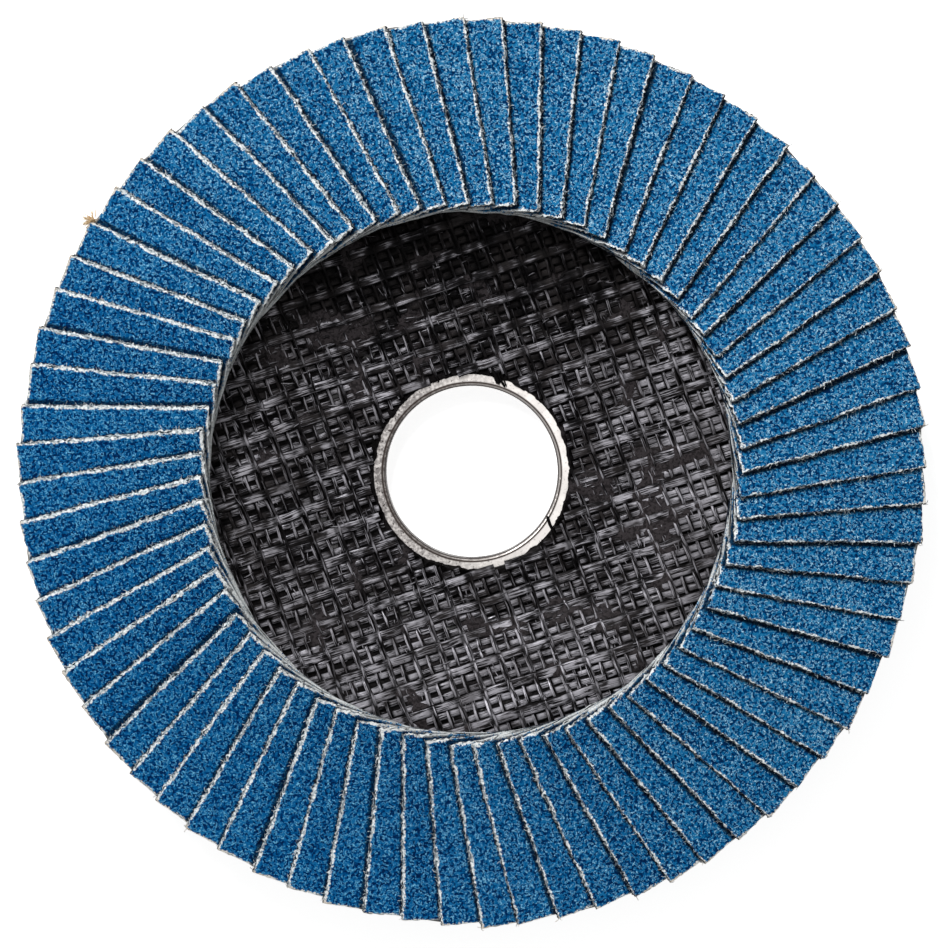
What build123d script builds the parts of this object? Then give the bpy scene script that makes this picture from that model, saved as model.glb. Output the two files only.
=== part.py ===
"""Flap disc: abrasive cloth flaps fanned round a dished glass-fibre backing plate.

The disc lies on its back, work side up. The origin is the centre of the arbor hole
on the back face of the steel arbor ring, and +Z points to the work side.
All sizes are millimetres.
"""

from build123d import *
import math
import os

# Driving dimensions
disc_dia = 115.0  # across the outer corners of the flaps
bore_dia = 22.23  # arbor hole

flap_count = 72
flap_width = 16.0  # around the ring, seen from the work side
flap_length = 23.8  # from the rim inwards
flap_thick = 0.85  # cloth, size coats and grain together
flap_rise = 0.95  # from one flap up to the next one over it
flap_phase = 4.18  # angle from +X to the first flap's centre line, degrees
flap_strips = 4  # straight strips that make up the twist of a flap
flaps_per_node = 2

ring_flange_dia = 40.0
ring_flange_thick = 0.8
ring_wall = 1.5  # collar of the arbor ring
ring_setback = 0.15  # collar end, below the front of the laminate
ring_edge_round = 0.35

plate_thick = 2.6
plate_seat_dia = 40.6  # flat floor of the recess
plate_depth = 4.2  # depth of the recess below the flap shelf
plate_bend = 5.0  # bend radius on the front face
plate_overhang = 5.5  # flap corners past the rim of the plate
plate_shelf = 1.9  # flat shelf that shows inside the flaps
plate_edge_round = 0.5

mesh_film = 0.16  # least resin over the plate, at the foot of its slope
mesh_cut = 0.12  # the mesh is cut this much wider than the collar
roving_angle = 17.85  # broad flat rovings, degrees from +X
roving_pitch = 3.66
roving_width = 1.5
roving_rise = 0.18
thread_angle = 110.8  # narrow threads that bind the rovings
thread_pitch = 6.84  # every second thread stands proud, the rest lie in the film
thread_width = 0.75
thread_rise = 0.3

bed_thick = 0.7  # adhesive under the flaps
bed_inset = 1.4  # adhesive starts this far outside the flaps' inner edges
bed_margin = 2.0  # bare plate rim outside the adhesive

# Clearances
ring_fit = 0.02  # collar in the plate, on the radius
mesh_gap = 0.3  # between the ends of the threads and the adhesive

# Worked-out sizes
bore_r = bore_dia / 2
collar_r = bore_r + ring_wall
plate_hole_r = collar_r + ring_fit
mesh_hole_r = collar_r + mesh_cut
pitch_angle = 360.0 / flap_count
flap_out = math.sqrt((disc_dia / 2) ** 2 - (flap_width / 2) ** 2)
flap_in = flap_out - flap_length
shelf_r = flap_in - plate_shelf
seat_r = plate_seat_dia / 2
rim_r = disc_dia / 2 - plate_overhang
bed_in = flap_in + bed_inset
bed_out = rim_r - bed_margin
seat_z = ring_flange_thick + plate_thick
shelf_z = seat_z + plate_depth
dish_slope = math.atan2(plate_depth, shelf_r - seat_r)
bend_depth = plate_bend * (1 / math.cos(dish_slope / 2) - 1)
film_rise = mesh_film + bend_depth
thread_root = bend_depth + mesh_film / 2
bed_z = shelf_z + film_rise
flap_z = bed_z + bed_thick
collar_z = seat_z + film_rise - ring_setback


def dish_points(inner, outer, rise):
    """Corners of the plate's front line from radius to radius, lifted square to itself."""
    shift = rise * math.tan(dish_slope / 2)
    return [
        (inner, 0, seat_z + rise),
        (seat_r - shift, 0, seat_z + rise),
        (shelf_r - shift, 0, shelf_z + rise),
        (outer, 0, shelf_z + rise),
    ]


def soft_line(inner, outer, rise):
    """Front line of the plate with its two bends rounded."""
    bends = [plate_bend - rise, plate_bend + rise]
    return FilletPolyline(*dish_points(inner, outer, rise), radius=bends)


def crisp_line(inner, outer, rise):
    """Front line of the plate with plain bends, as the stiff threads cross them."""
    return Polyline(*dish_points(inner, outer, rise))


def dish_band(bottom, top):
    """Round dished sheet between two lines that end over each other."""
    ends = [Line(bottom @ 0, top @ 0), Line(bottom @ 1, top @ 1)]
    return revolve(make_face([bottom, top] + ends), Axis.Z, 360)


def backing_plate():
    """Moulded glass-fibre laminate with a recess for the flange nut."""
    back = soft_line(plate_hole_r, rim_r, -plate_thick)
    plate = dish_band(back, soft_line(plate_hole_r, rim_r, 0))
    rim = plate.edges().filter_by(GeomType.CIRCLE).group_by(SortBy.RADIUS)[-1]
    return fillet(rim, plate_edge_round)


def arbor_ring():
    """Stamped steel bush: a flange on the back and a collar through the laminate."""
    flange_r = ring_flange_dia / 2
    profile = Polyline(
        (bore_r, 0, 0),
        (flange_r, 0, 0),
        (flange_r, 0, ring_flange_thick),
        (collar_r, 0, ring_flange_thick),
        (collar_r, 0, collar_z),
        (bore_r, 0, collar_z),
        close=True,
    )
    bush = revolve(make_face(profile), Axis.Z, 360)
    mouth = bush.edges().filter_by(GeomType.CIRCLE).group_by(Axis.Z)[-1]
    return fillet(mouth.sort_by(SortBy.RADIUS)[0], ring_edge_round)


def strands(angle, pitch, width, outer):
    """Parallel upright slabs across the disc, one for each thread."""
    count = int(outer / pitch + 0.5)
    slab = Box(2 * outer, width, 4 * shelf_z)
    places = [Pos(0, (i + 0.5) * pitch, 0) for i in range(-count, count)]
    return Rot(0, 0, angle) * Compound([place * slab for place in places])


def front_glass_mesh():
    """Woven glass ply in a resin film, pressed on the front of the plate."""
    outer = bed_in - mesh_gap
    film_top = crisp_line(mesh_hole_r, rim_r, film_rise)
    film = dish_band(soft_line(mesh_hole_r, rim_r, 0), film_top)
    root = crisp_line(mesh_hole_r, outer, thread_root)
    roving_band = dish_band(root, crisp_line(mesh_hole_r, outer, film_rise + roving_rise))
    thread_band = dish_band(root, crisp_line(mesh_hole_r, outer, film_rise + thread_rise))
    rovings = roving_band & strands(roving_angle, roving_pitch, roving_width, outer)
    threads = thread_band & strands(thread_angle, thread_pitch, thread_width, outer)
    return film + rovings + threads


def adhesive_bed():
    """Ring of cured resin that the low ends of the flaps stand in."""
    section = Rot(90, 0, 0) * Rectangle(bed_out - bed_in, bed_thick)
    face = Pos((bed_in + bed_out) / 2, 0, bed_z + bed_thick / 2) * section
    return revolve(face, Axis.Z, 360)


def flap_lift(reach, side):
    """Rise of a flap's underside over the bed, so that each turn clears the last one."""
    spread = math.atan2(flap_width / 2, reach) - math.atan2(side, reach)
    return flap_rise * math.degrees(spread) / pitch_angle


def flap_section(side):
    """Flap cut square to the ring, at this distance from its centre line."""
    low_in = flap_z + flap_lift(flap_in, side)
    low_out = flap_z + flap_lift(flap_out, side)
    outline = Polyline(
        (flap_in, side, low_in),
        (flap_out, side, low_out),
        (flap_out, side, low_out + flap_thick),
        (flap_in, side, low_in + flap_thick),
        close=True,
    )
    return make_face(outline)


def flap():
    """One abrasive flap, low at its glued end and twisted to lie along the one below."""
    strip = flap_width / flap_strips
    sides = [flap_width / 2 - strip * i for i in range(flap_strips + 1)]
    return loft([flap_section(side) for side in sides], ruled=True)


def flap_nodes():
    """All flaps round the ring, a few neighbours to each node."""
    blank = flap()
    nodes = {}
    for first in range(0, flap_count, flaps_per_node):
        turns = [flap_phase + pitch_angle * (first + i) for i in range(flaps_per_node)]
        name = f"flaps_{first // flaps_per_node + 1:02d}"
        nodes[name] = Compound([Rot(0, 0, turn) * blank for turn in turns])
    return nodes


nodes = {
    "backing_plate": backing_plate(),
    "arbor_ring": arbor_ring(),
    "front_glass_mesh": front_glass_mesh(),
    "adhesive_bed": adhesive_bed(),
}
nodes.update(flap_nodes())

os.makedirs("parts", exist_ok=True)
for name, shape in nodes.items():
    export_step(shape, f"parts/{name}.step")
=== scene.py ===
"""Looks of the flap disc: abrasive cloth flaps, woven glass front, steel ring and studio.

Every size is in metres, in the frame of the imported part: the disc lies on its back,
the origin is on the arbor axis and +Z points to the work side.
"""

import logging
import math
from dataclasses import dataclass, field
from enum import Enum

import bpy
import numpy as np
from mathutils import Matrix, Vector, noise


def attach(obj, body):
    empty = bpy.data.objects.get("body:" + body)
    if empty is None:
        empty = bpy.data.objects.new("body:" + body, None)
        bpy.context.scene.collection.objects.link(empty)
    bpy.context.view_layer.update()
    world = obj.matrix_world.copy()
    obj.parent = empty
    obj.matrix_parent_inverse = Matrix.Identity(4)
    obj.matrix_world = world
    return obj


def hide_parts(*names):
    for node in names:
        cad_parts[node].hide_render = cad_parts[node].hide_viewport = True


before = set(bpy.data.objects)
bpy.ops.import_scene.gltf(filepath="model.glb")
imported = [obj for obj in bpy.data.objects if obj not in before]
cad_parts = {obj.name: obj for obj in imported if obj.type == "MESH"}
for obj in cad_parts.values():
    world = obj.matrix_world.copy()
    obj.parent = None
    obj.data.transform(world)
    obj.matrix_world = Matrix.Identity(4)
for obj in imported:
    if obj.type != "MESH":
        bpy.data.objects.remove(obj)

LOG = logging.getLogger("flap_disc")
MM = 0.001
ROOT = "root"
Colour = tuple[float, float, float, float]


class Slot(Enum):
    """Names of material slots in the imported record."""

    GLASS_MESH = "glass_mesh"
    ABRASIVE_CLOTH = "abrasive_cloth"


class Mask(Enum):
    """Point attributes that carry a piece's own layout to its material."""

    GRIT = "grit"
    CUT = "cut"
    CLOTH = "cloth"
    # Painted shade in the flaps' crevices and at the foot of their cut sides.
    CREVICE_SHADE = "crevice_shade"
    POOL = "pool"
    # Height on a cut side or a yarn, which the finishes turn into painted shade.
    LEVEL = "level"
    TURN = "turn"
    ALONG = "along"
    ACROSS = "across"


# ---------------------------------------------------------------- node helpers


@dataclass
class Graph:
    """Adds and links the nodes of one shader or geometry tree."""

    tree: bpy.types.NodeTree

    def feed(self, socket: bpy.types.NodeSocket, value: object) -> None:
        """Links an output to an input, or sets the input's value.

        Args:
            socket: Input to feed.
            value: Output socket to link, or a plain value.
        """
        if isinstance(value, bpy.types.NodeSocket):
            self.tree.links.new(value, socket)
        else:
            socket.default_value = value

    def add(self, kind: str, inputs: dict | None = None, **settings: object) -> bpy.types.Node:
        """Adds a node.

        Args:
            kind: Blender's name of the node type.
            inputs: Values or output sockets by input name or number.
            settings: The node's own properties.

        Returns:
            The new node.
        """
        node = self.tree.nodes.new(kind)
        for name, value in settings.items():
            setattr(node, name, value)
        return self.fill(node, inputs or {})

    def fill(self, node: bpy.types.Node, inputs: dict) -> bpy.types.Node:
        """Feeds several inputs of a node, by name or number."""
        for key, value in inputs.items():
            self.feed(node.inputs[key], value)
        return node

    def math(self, operation: str, *values: object) -> bpy.types.NodeSocket:
        """Adds a Math node and returns its result."""
        return self.add("ShaderNodeMath", dict(enumerate(values)), operation=operation).outputs[0]

    def plus(self, first: object, second: object) -> bpy.types.NodeSocket:
        """Adds two numbers."""
        return self.math("ADD", first, second)

    def minus(self, first: object, second: object) -> bpy.types.NodeSocket:
        """Takes the second number from the first."""
        return self.math("SUBTRACT", first, second)

    def times(self, first: object, second: object) -> bpy.types.NodeSocket:
        """Multiplies two numbers."""
        return self.math("MULTIPLY", first, second)

    def times_plus(self, first: object, second: object, extra: object) -> bpy.types.NodeSocket:
        """Multiplies two numbers and adds a third."""
        return self.math("MULTIPLY_ADD", first, second, extra)

    def larger(self, first: object, second: object) -> bpy.types.NodeSocket:
        """Picks the larger of two numbers."""
        return self.math("MAXIMUM", first, second)

    def scaled(self, vector: object, scale: object) -> bpy.types.NodeSocket:
        """Returns a vector times a number."""
        inputs = {"Vector": vector, "Scale": scale}
        return self.add("ShaderNodeVectorMath", inputs, operation="SCALE").outputs["Vector"]

    def dot(self, first: object, second: object) -> bpy.types.NodeSocket:
        """Returns the dot product of two vectors."""
        inputs = {0: first, 1: second}
        return self.add("ShaderNodeVectorMath", inputs, operation="DOT_PRODUCT").outputs["Value"]

    def length(self, vector: object) -> bpy.types.NodeSocket:
        """Returns a vector's length."""
        return self.add("ShaderNodeVectorMath", {0: vector}, operation="LENGTH").outputs["Value"]

    def join(self, x: object, y: object, z: object) -> bpy.types.NodeSocket:
        """Makes a vector from three numbers."""
        return self.add("ShaderNodeCombineXYZ", {0: x, 1: y, 2: z}).outputs[0]

    def split(self, vector: object) -> list[bpy.types.NodeSocket]:
        """Returns a vector's three numbers."""
        return list(self.add("ShaderNodeSeparateXYZ", {0: vector}).outputs)

    def spread(
        self,
        value: object,
        low: object,
        high: object,
        to_low: object = 0.0,
        to_high: object = 1.0,
    ) -> bpy.types.NodeSocket:
        """Maps a number from one range to another, held at both ends.

        Args:
            value: Number to map.
            low: Start of the first range.
            high: End of the first range.
            to_low: Result at the start.
            to_high: Result at the end.

        Returns:
            The mapped number's socket.
        """
        inputs = {0: value, 1: low, 2: high, 3: to_low, 4: to_high}
        return self.add("ShaderNodeMapRange", inputs).outputs[0]

    def noise(
        self, vector: object, scale: object, detail: float = 2.0, rough: float = 0.5
    ) -> bpy.types.NodeSocket:
        """Returns a Noise Texture's value on a vector."""
        inputs = {"Vector": vector, "Scale": scale, "Detail": detail, "Roughness": rough}
        return self.add("ShaderNodeTexNoise", inputs).outputs[0]

    def mix(self, factor: object, first: object, second: object) -> bpy.types.NodeSocket:
        """Blends two colours."""
        inputs = {0: factor, 6: first, 7: second}
        return self.add("ShaderNodeMix", inputs, data_type="RGBA").outputs[2]

    def ramp(
        self, value: object, stops: tuple[tuple[float, Colour], ...]
    ) -> bpy.types.NodeSocket:
        """Colours a number by a ramp.

        Args:
            value: Number to colour.
            stops: Place and colour of each stop, low to high.

        Returns:
            The colour's socket.
        """
        node = self.add("ShaderNodeValToRGB", {0: value})
        elements = node.color_ramp.elements
        while len(elements) < len(stops):
            elements.new(1.0)
        for element, (place, colour) in zip(elements, stops):
            element.position = place
            element.color = colour
        return node.outputs[0]

    def mask(self, name: Mask) -> bpy.types.NodeSocket:
        """Reads one of the piece's point attributes in a material."""
        return self.add("ShaderNodeAttribute", attribute_name=name.value).outputs["Fac"]

    def place(self) -> bpy.types.NodeSocket:
        """Returns the piece's own coordinates in a material, in metres."""
        return self.add("ShaderNodeTexCoord").outputs["Object"]

    def group(self, tree: bpy.types.NodeTree, inputs: dict) -> bpy.types.Node:
        """Places a shared group with its own values."""
        return self.add("ShaderNodeGroup", inputs, node_tree=tree)

    def bump(self, height: object, strength: float, distance: float) -> bpy.types.NodeSocket:
        """Returns a normal bent by a height."""
        inputs = {"Height": height, "Strength": strength, "Distance": distance}
        return self.add("ShaderNodeBump", inputs).outputs[0]

    def store(
        self, geometry: object, mask: Mask, value: object, domain: str = "POINT"
    ) -> bpy.types.NodeSocket:
        """Keeps a number on each point or instance of a geometry.

        Args:
            geometry: Geometry to mark.
            mask: Attribute that takes the number.
            value: The number.
            domain: What carries it, POINT or INSTANCE.

        Returns:
            The marked geometry.
        """
        inputs = {"Geometry": geometry, "Name": mask.value, "Value": value}
        kind = "GeometryNodeStoreNamedAttribute"
        return self.add(kind, inputs, data_type="FLOAT", domain=domain).outputs[0]

    def stored(self, mask: Mask) -> bpy.types.NodeSocket:
        """Reads a point attribute in a geometry tree."""
        kind = "GeometryNodeInputNamedAttribute"
        return self.add(kind, {"Name": mask.value}, data_type="FLOAT").outputs["Attribute"]

    def chance(self, number: object, seed: object) -> bpy.types.NodeSocket:
        """Returns a fixed random number from 0 to 1 for each number."""
        inputs = {"ID": number, "Seed": seed}
        return self.add("FunctionNodeRandomValue", inputs, data_type="FLOAT").outputs[1]

    def moved(self, inputs: dict) -> bpy.types.NodeSocket:
        """Moves the points of a geometry."""
        return self.add("GeometryNodeSetPosition", inputs).outputs[0]

    def realized(self, geometry: object) -> bpy.types.NodeSocket:
        """Turns instances into plain geometry."""
        return self.add("GeometryNodeRealizeInstances", {0: geometry}).outputs[0]

    def close(self, end: bpy.types.Node, geometry: object, material: object) -> None:
        """Ends a geometry tree with its plain geometry in one material.

        Args:
            end: Output node of the tree.
            geometry: Geometry that the tree has made.
            material: Socket of the tree's material.
        """
        inputs = {"Geometry": self.realized(geometry), "Material": material}
        self.feed(end.inputs[0], self.add("GeometryNodeSetMaterial", inputs).outputs[0])


SOCKET_KINDS = {
    float: "NodeSocketFloat",
    int: "NodeSocketInt",
    bpy.types.Material: "NodeSocketMaterial",
}


def effect_group(name: str, inputs: dict[str, float], outputs: list[str]) -> tuple:
    """Starts a shader node group with named sockets.

    Args:
        name: Name of the group.
        inputs: Default values by input name; a Vector input comes before them.
        outputs: Names of the outputs, all plain numbers.

    Returns:
        The group, its graph, its input node and its output node.
    """
    group = bpy.data.node_groups.new(name, "ShaderNodeTree")
    group.interface.new_socket("Vector", in_out="INPUT", socket_type="NodeSocketVector")
    for label, value in inputs.items():
        socket = group.interface.new_socket(label, in_out="INPUT", socket_type="NodeSocketFloat")
        socket.default_value = value
    for label in outputs:
        group.interface.new_socket(label, in_out="OUTPUT", socket_type="NodeSocketFloat")
    graph = Graph(group)
    return group, graph, graph.add("NodeGroupInput"), graph.add("NodeGroupOutput")


def maker_tree(name: str, inputs: dict[str, object]) -> tuple:
    """Starts a geometry node tree with named inputs.

    Args:
        name: Name of the tree.
        inputs: A float, a whole number, a material or its type by input name.

    Returns:
        The tree, its graph, its input node and its output node.
    """
    tree = bpy.data.node_groups.new(name, "GeometryNodeTree")
    for side in ("INPUT", "OUTPUT"):
        tree.interface.new_socket("Geometry", in_out=side, socket_type="NodeSocketGeometry")
    for label, value in inputs.items():
        kind = value if isinstance(value, type) else type(value)
        socket = tree.interface.new_socket(label, in_out="INPUT", socket_type=SOCKET_KINDS[kind])
        if not isinstance(value, type):
            socket.default_value = value
    graph = Graph(tree)
    return tree, graph, graph.add("NodeGroupInput"), graph.add("NodeGroupOutput")


def run_tree(piece: bpy.types.Object, tree: bpy.types.NodeTree, values: dict) -> None:
    """Runs a geometry node tree on a piece and keeps the result as its plain mesh.

    Args:
        piece: Object that carries the tree.
        tree: Geometry node tree to run.
        values: Values by input name.
    """
    modifier = piece.modifiers.new("maker", "NODES")
    modifier.node_group = tree
    for item in tree.interface.items_tree:
        if item.in_out == "INPUT" and item.name in values:
            modifier[item.identifier] = values[item.name]
    graph = bpy.context.evaluated_depsgraph_get()
    made = bpy.data.meshes.new_from_object(
        piece.evaluated_get(graph), preserve_all_data_layers=True, depsgraph=graph
    )
    piece.modifiers.clear()
    piece.data = made
    made.name = piece.name


def new_piece(
    name: str,
    points: np.ndarray | None = None,
    faces: np.ndarray | None = None,
    masks: dict[Mask, np.ndarray] | None = None,
) -> bpy.types.Object:
    """Makes a mesh object at the origin.

    Args:
        name: Name of the piece.
        points: Vertex places, one row each.
        faces: Corner numbers of four-sided faces, one row each.
        masks: Values of point attributes.

    Returns:
        The new object, in the scene.
    """
    mesh = bpy.data.meshes.new(name)
    if points is not None:
        mesh.from_pydata(points.tolist(), [], faces.tolist())
        for mask, values in (masks or {}).items():
            mesh.attributes.new(mask.value, "FLOAT", "POINT").data.foreach_set("value", values)
        mesh.shade_smooth()
    piece = bpy.data.objects.new(name, mesh)
    bpy.context.scene.collection.objects.link(piece)
    return piece


def sheet_faces(rows: int, columns: int) -> np.ndarray:
    """Corner numbers of a sheet of points laid out in rows.

    Args:
        rows: Number of rows of points.
        columns: Number of points in a row.

    Returns:
        One row of four corners for each face.
    """
    corner = (np.arange(rows - 1)[:, None] * columns + np.arange(columns - 1)[None, :]).ravel()
    return np.stack([corner, corner + columns, corner + columns + 1, corner + 1], axis=1)


def join_pieces(name: str, pieces: list[bpy.types.Object]) -> bpy.types.Object:
    """Joins several objects into the first one and names it."""
    with bpy.context.temp_override(active_object=pieces[0], selected_editable_objects=pieces):
        bpy.ops.object.join()
    pieces[0].name = name
    return pieces[0]


def settle(piece: bpy.types.Object, nodes: list[str]) -> None:
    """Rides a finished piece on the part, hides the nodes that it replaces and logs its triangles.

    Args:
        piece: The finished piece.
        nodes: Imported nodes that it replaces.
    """
    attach(piece, ROOT)
    if nodes:
        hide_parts(*nodes)
    piece.data.calc_loop_triangles()
    LOG.info("%s: %d triangles", piece.name, len(piece.data.loop_triangles))


# ---------------------------------------------------------------- shared effects


def crushed_grain_group() -> bpy.types.NodeTree:
    """Crushed grain: a height for bump and a tone from hollow to crest."""
    group, graph, start, end = effect_group(
        "crushed_grain", {"Grain": 3000.0, "Crest": 0.5}, ["Height", "Tone"]
    )
    vector, grain, crest = (start.outputs[i] for i in range(3))
    base = graph.noise(vector, grain, 1.5, 0.55)
    wide = graph.noise(vector, graph.times(grain, 0.85), 1.0)
    swing = graph.math("ABSOLUTE", graph.minus(base, 0.53))
    ridge = graph.spread(swing, 0.0, 0.065, 1.0, 0.0)
    height = graph.times_plus(graph.times(ridge, graph.spread(wide, 0.34, 0.6)), crest, base)
    graph.fill(end, {"Height": height, "Tone": graph.spread(height, 0.3, 1.15)})
    return group


def filament_group() -> bpy.types.NodeTree:
    """Fine ridges that run along a yarn; the vector is across, along, yarn number."""
    group, graph, start, end = effect_group(
        "yarn_filaments", {"Across": 7.0, "Along": 500.0}, ["Height", "Tone"]
    )
    across, along, turn = graph.split(start.outputs["Vector"])
    lane = graph.times(across, start.outputs["Across"])
    run = graph.times(along, start.outputs["Along"])
    place = graph.join(lane, run, graph.times(turn, 31.7))
    fine = graph.noise(place, 1.0, 2.0, 0.6)
    tone = graph.times_plus(graph.noise(place, 0.3, 1.0), 0.45, graph.times(fine, 0.85))
    graph.fill(end, {"Height": fine, "Tone": graph.spread(tone, 0.5, 0.8)})
    return group


def shop_dust_group() -> bpy.types.NodeTree:
    """Marks that gather in soft patches, and small specks."""
    group, graph, start, end = effect_group(
        "shop_dust", {"Patches": 180.0, "Specks": 2600.0}, ["Patch", "Speck"]
    )
    vector, patches, specks = (start.outputs[i] for i in range(3))
    patch = graph.spread(graph.noise(vector, patches, 3.0, 0.6), 0.42, 0.64)
    speck = graph.spread(graph.noise(vector, specks, 1.0), 0.62, 0.72)
    graph.fill(end, {"Patch": patch, "Speck": speck})
    return group


@dataclass(frozen=True)
class Effects:
    """Node groups that the finishes share."""

    grain: bpy.types.NodeTree = field(default_factory=crushed_grain_group)
    filaments: bpy.types.NodeTree = field(default_factory=filament_group)
    dust: bpy.types.NodeTree = field(default_factory=shop_dust_group)


# ---------------------------------------------------------------- finishes


def new_material(name: str) -> tuple[bpy.types.Material, Graph, bpy.types.Node]:
    """Starts a material and returns it with its graph and its Principled node."""
    material = bpy.data.materials.new(name)
    material.use_nodes = True
    return material, Graph(material.node_tree), material.node_tree.nodes["Principled BSDF"]


@dataclass(frozen=True)
class Finish:
    """A material that is mixed from the shared effects."""

    name: str = "finish"

    def build(self, effects: Effects) -> bpy.types.Material:
        """Makes the material.

        Args:
            effects: Shared node groups.

        Returns:
            The finished material.
        """
        material, graph, shader = new_material(self.name)
        graph.fill(shader, self.mixed(graph, effects))
        return material

    def mixed(self, graph: Graph, effects: Effects) -> dict[str, object]:
        """Returns what goes into the shader by input name; each finish has its own."""
        raise NotImplementedError


@dataclass(frozen=True)
class AbrasiveClothFinish(Finish):
    """Blue zirconia grain on cloth, with pale fibres where the cloth is cut."""

    name: str = "abrasive_cloth"
    grain_size: float = 0.33 * MM
    grain_crest: float = 0.7
    grain_relief: float = 0.1 * MM
    # The grain's own dark and light tones; the palest stop is partly painted highlight on the
    # crests.
    grain_stops: tuple[tuple[float, Colour], ...] = (
        (0.04, (0.0, 0.018, 0.075, 1.0)),
        (0.16, (0.0, 0.05, 0.165, 1.0)),
        (0.34, (0.001, 0.12, 0.308, 1.0)),
        (0.57, (0.026, 0.24, 0.475, 1.0)),
        (0.93, (0.5, 0.78, 0.95, 1.0)),
    )
    cluster_rate: float = 760.0
    cluster_gain: float = 0.3
    flap_gain: float = 0.05
    # Painted shade: the grain's pale crests lose their white sheen towards the lower left.
    painted_shade_tint: Colour = (0.45, 0.84, 1.0, 1.0)
    painted_shade_angle: float = math.pi / 6
    painted_shade_span: float = 40.0 * MM
    tuft_rate: float = 3300.0
    fibre: Colour = (0.95, 0.98, 0.98, 1.0)
    fibre_shade: Colour = (0.28, 0.38, 0.43, 1.0)
    # Painted light: the cut fibres are made paler at the inner ends, lifting the shade there.
    inner_end: float = 34.0 * MM
    inner_fade: float = 34.6 * MM
    inner_painted_light: float = 0.09
    tan: Colour = (0.62, 0.42, 0.22, 1.0)
    tan_start: float = 56.8 * MM
    tan_end: float = 57.8 * MM
    tan_gain: float = 0.65
    backing: Colour = (0.2, 0.27, 0.3, 1.0)
    backing_shade: Colour = (0.06, 0.1, 0.13, 1.0)
    tear_rate: float = 520.0
    tear_gain: float = 0.9
    # Painted shade: darker cloth and narrower pale edges towards the right of the disc.
    shaded_side_span: float = 40.0 * MM
    shaded_side_cover: float = 0.2
    # Colour of the painted shade in the crevices and at the foot of the cut sides.
    crevice_shade: Colour = (0.0008, 0.006, 0.02, 1.0)
    shine: float = 0.04

    def mixed(self, graph: Graph, effects: Effects) -> dict[str, object]:
        """Mixes blue grain, bare cloth and painted shade.

        Args:
            graph: Graph of the material.
            effects: Shared node groups.

        Returns:
            What goes into the shader, by input name.
        """
        place = graph.place()
        sizes = {"Vector": place, "Grain": 1 / self.grain_size, "Crest": self.grain_crest}
        grain = graph.group(effects.grain, sizes).outputs
        cluster = graph.minus(graph.noise(place, self.cluster_rate, 1.0), 0.5)
        own = graph.minus(graph.mask(Mask.TURN), 0.5)
        drift = graph.times_plus(own, self.flap_gain, grain["Tone"])
        tone = graph.times_plus(cluster, self.cluster_gain, drift)
        tuft = graph.noise(place, self.tuft_rate, 2.0, 0.6)
        _, _, facing = graph.split(graph.add("ShaderNodeNewGeometry").outputs["True Normal"])
        under = graph.spread(facing, -0.6, -0.4, 1.0, 0.0)
        x, _, _ = graph.split(place)
        # Painted shade grows towards the right, where the cut sides face away from the lamp.
        shaded_side = graph.spread(x, -self.shaded_side_span, self.shaded_side_span)
        edge = graph.larger(self.bare(graph, place, tuft, shaded_side), under)
        cloth = self.cloth(graph, place, tuft, under)
        unshaded = graph.mix(edge, self.blue(graph, place, tone), cloth)
        painted_shade = graph.times(self.painted_shade(graph, tuft, shaded_side), graph.minus(1.0, under))
        return {
            "Base Color": graph.mix(painted_shade, unshaded, self.crevice_shade),
            "Roughness": graph.spread(tone, 0.2, 0.8, 0.8, 0.45),
            "Specular IOR Level": self.shine,
            "Normal": graph.bump(grain["Height"], 0.8, self.grain_relief),
        }

    def blue(self, graph: Graph, place: object, tone: object) -> bpy.types.NodeSocket:
        """Colours the grain by its tone, with painted shade deeper towards the lower left.

        Args:
            graph: Graph of the material.
            place: The piece's own coordinates.
            tone: Tone of the grain, from hollow to crest.

        Returns:
            The grain's colour.
        """
        way = (-math.cos(self.painted_shade_angle), -math.sin(self.painted_shade_angle), 0.0)
        lower_left = graph.dot(place, way)
        shade_tint_amount = graph.spread(lower_left, -0.5 * self.painted_shade_span, self.painted_shade_span)
        inputs = {0: shade_tint_amount, 6: graph.ramp(tone, self.grain_stops), 7: self.painted_shade_tint}
        mixed = graph.add("ShaderNodeMix", inputs, data_type="RGBA", blend_type="MULTIPLY")
        return mixed.outputs[2]

    def cloth(
        self, graph: Graph, place: object, tuft: object, under: object
    ) -> bpy.types.NodeSocket:
        """Colours the cloth: pale cut fibres, painted light at the inner ends, tan outer corners,
        dark underneath.

        Args:
            graph: Graph of the material.
            place: The piece's own coordinates.
            tuft: Fine noise of the fibres.
            under: How far the surface faces down.

        Returns:
            The cloth's colour.
        """
        x, y, _ = graph.split(place)
        far = graph.length(graph.join(x, y, 0.0))
        inner = graph.spread(far, self.inner_end, self.inner_fade, self.inner_painted_light, 0.0)
        fluff = graph.spread(graph.plus(tuft, inner), 0.36, 0.56)
        pale = graph.mix(fluff, self.fibre_shade, self.fibre)
        outer = graph.spread(far, self.tan_start, self.tan_end, 0.0, self.tan_gain)
        woven = graph.mix(graph.spread(tuft, 0.36, 0.62), self.backing_shade, self.backing)
        return graph.mix(under, graph.mix(outer, pale, self.tan), woven)

    def bare(
        self, graph: Graph, place: object, tuft: object, shaded_side: object
    ) -> bpy.types.NodeSocket:
        """Finds where the cloth shows, in a ragged line along the cuts.

        Args:
            graph: Graph of the material.
            place: The piece's own coordinates.
            tuft: Fine noise of the fibres.
            shaded_side: How much painted shade this side of the disc gets, which narrows the pale
                edges.

        Returns:
            How bare the cloth is, from 0 to 1.
        """
        broad = graph.minus(graph.noise(place, self.tear_rate, 1.0), 0.5)
        uneven = graph.times_plus(broad, self.tear_gain, tuft)
        cut = graph.mask(Mask.CUT)
        torn = graph.times(graph.minus(uneven, 0.5), graph.spread(cut, 0.0, 0.3, 0.5, 1.4))
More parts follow.
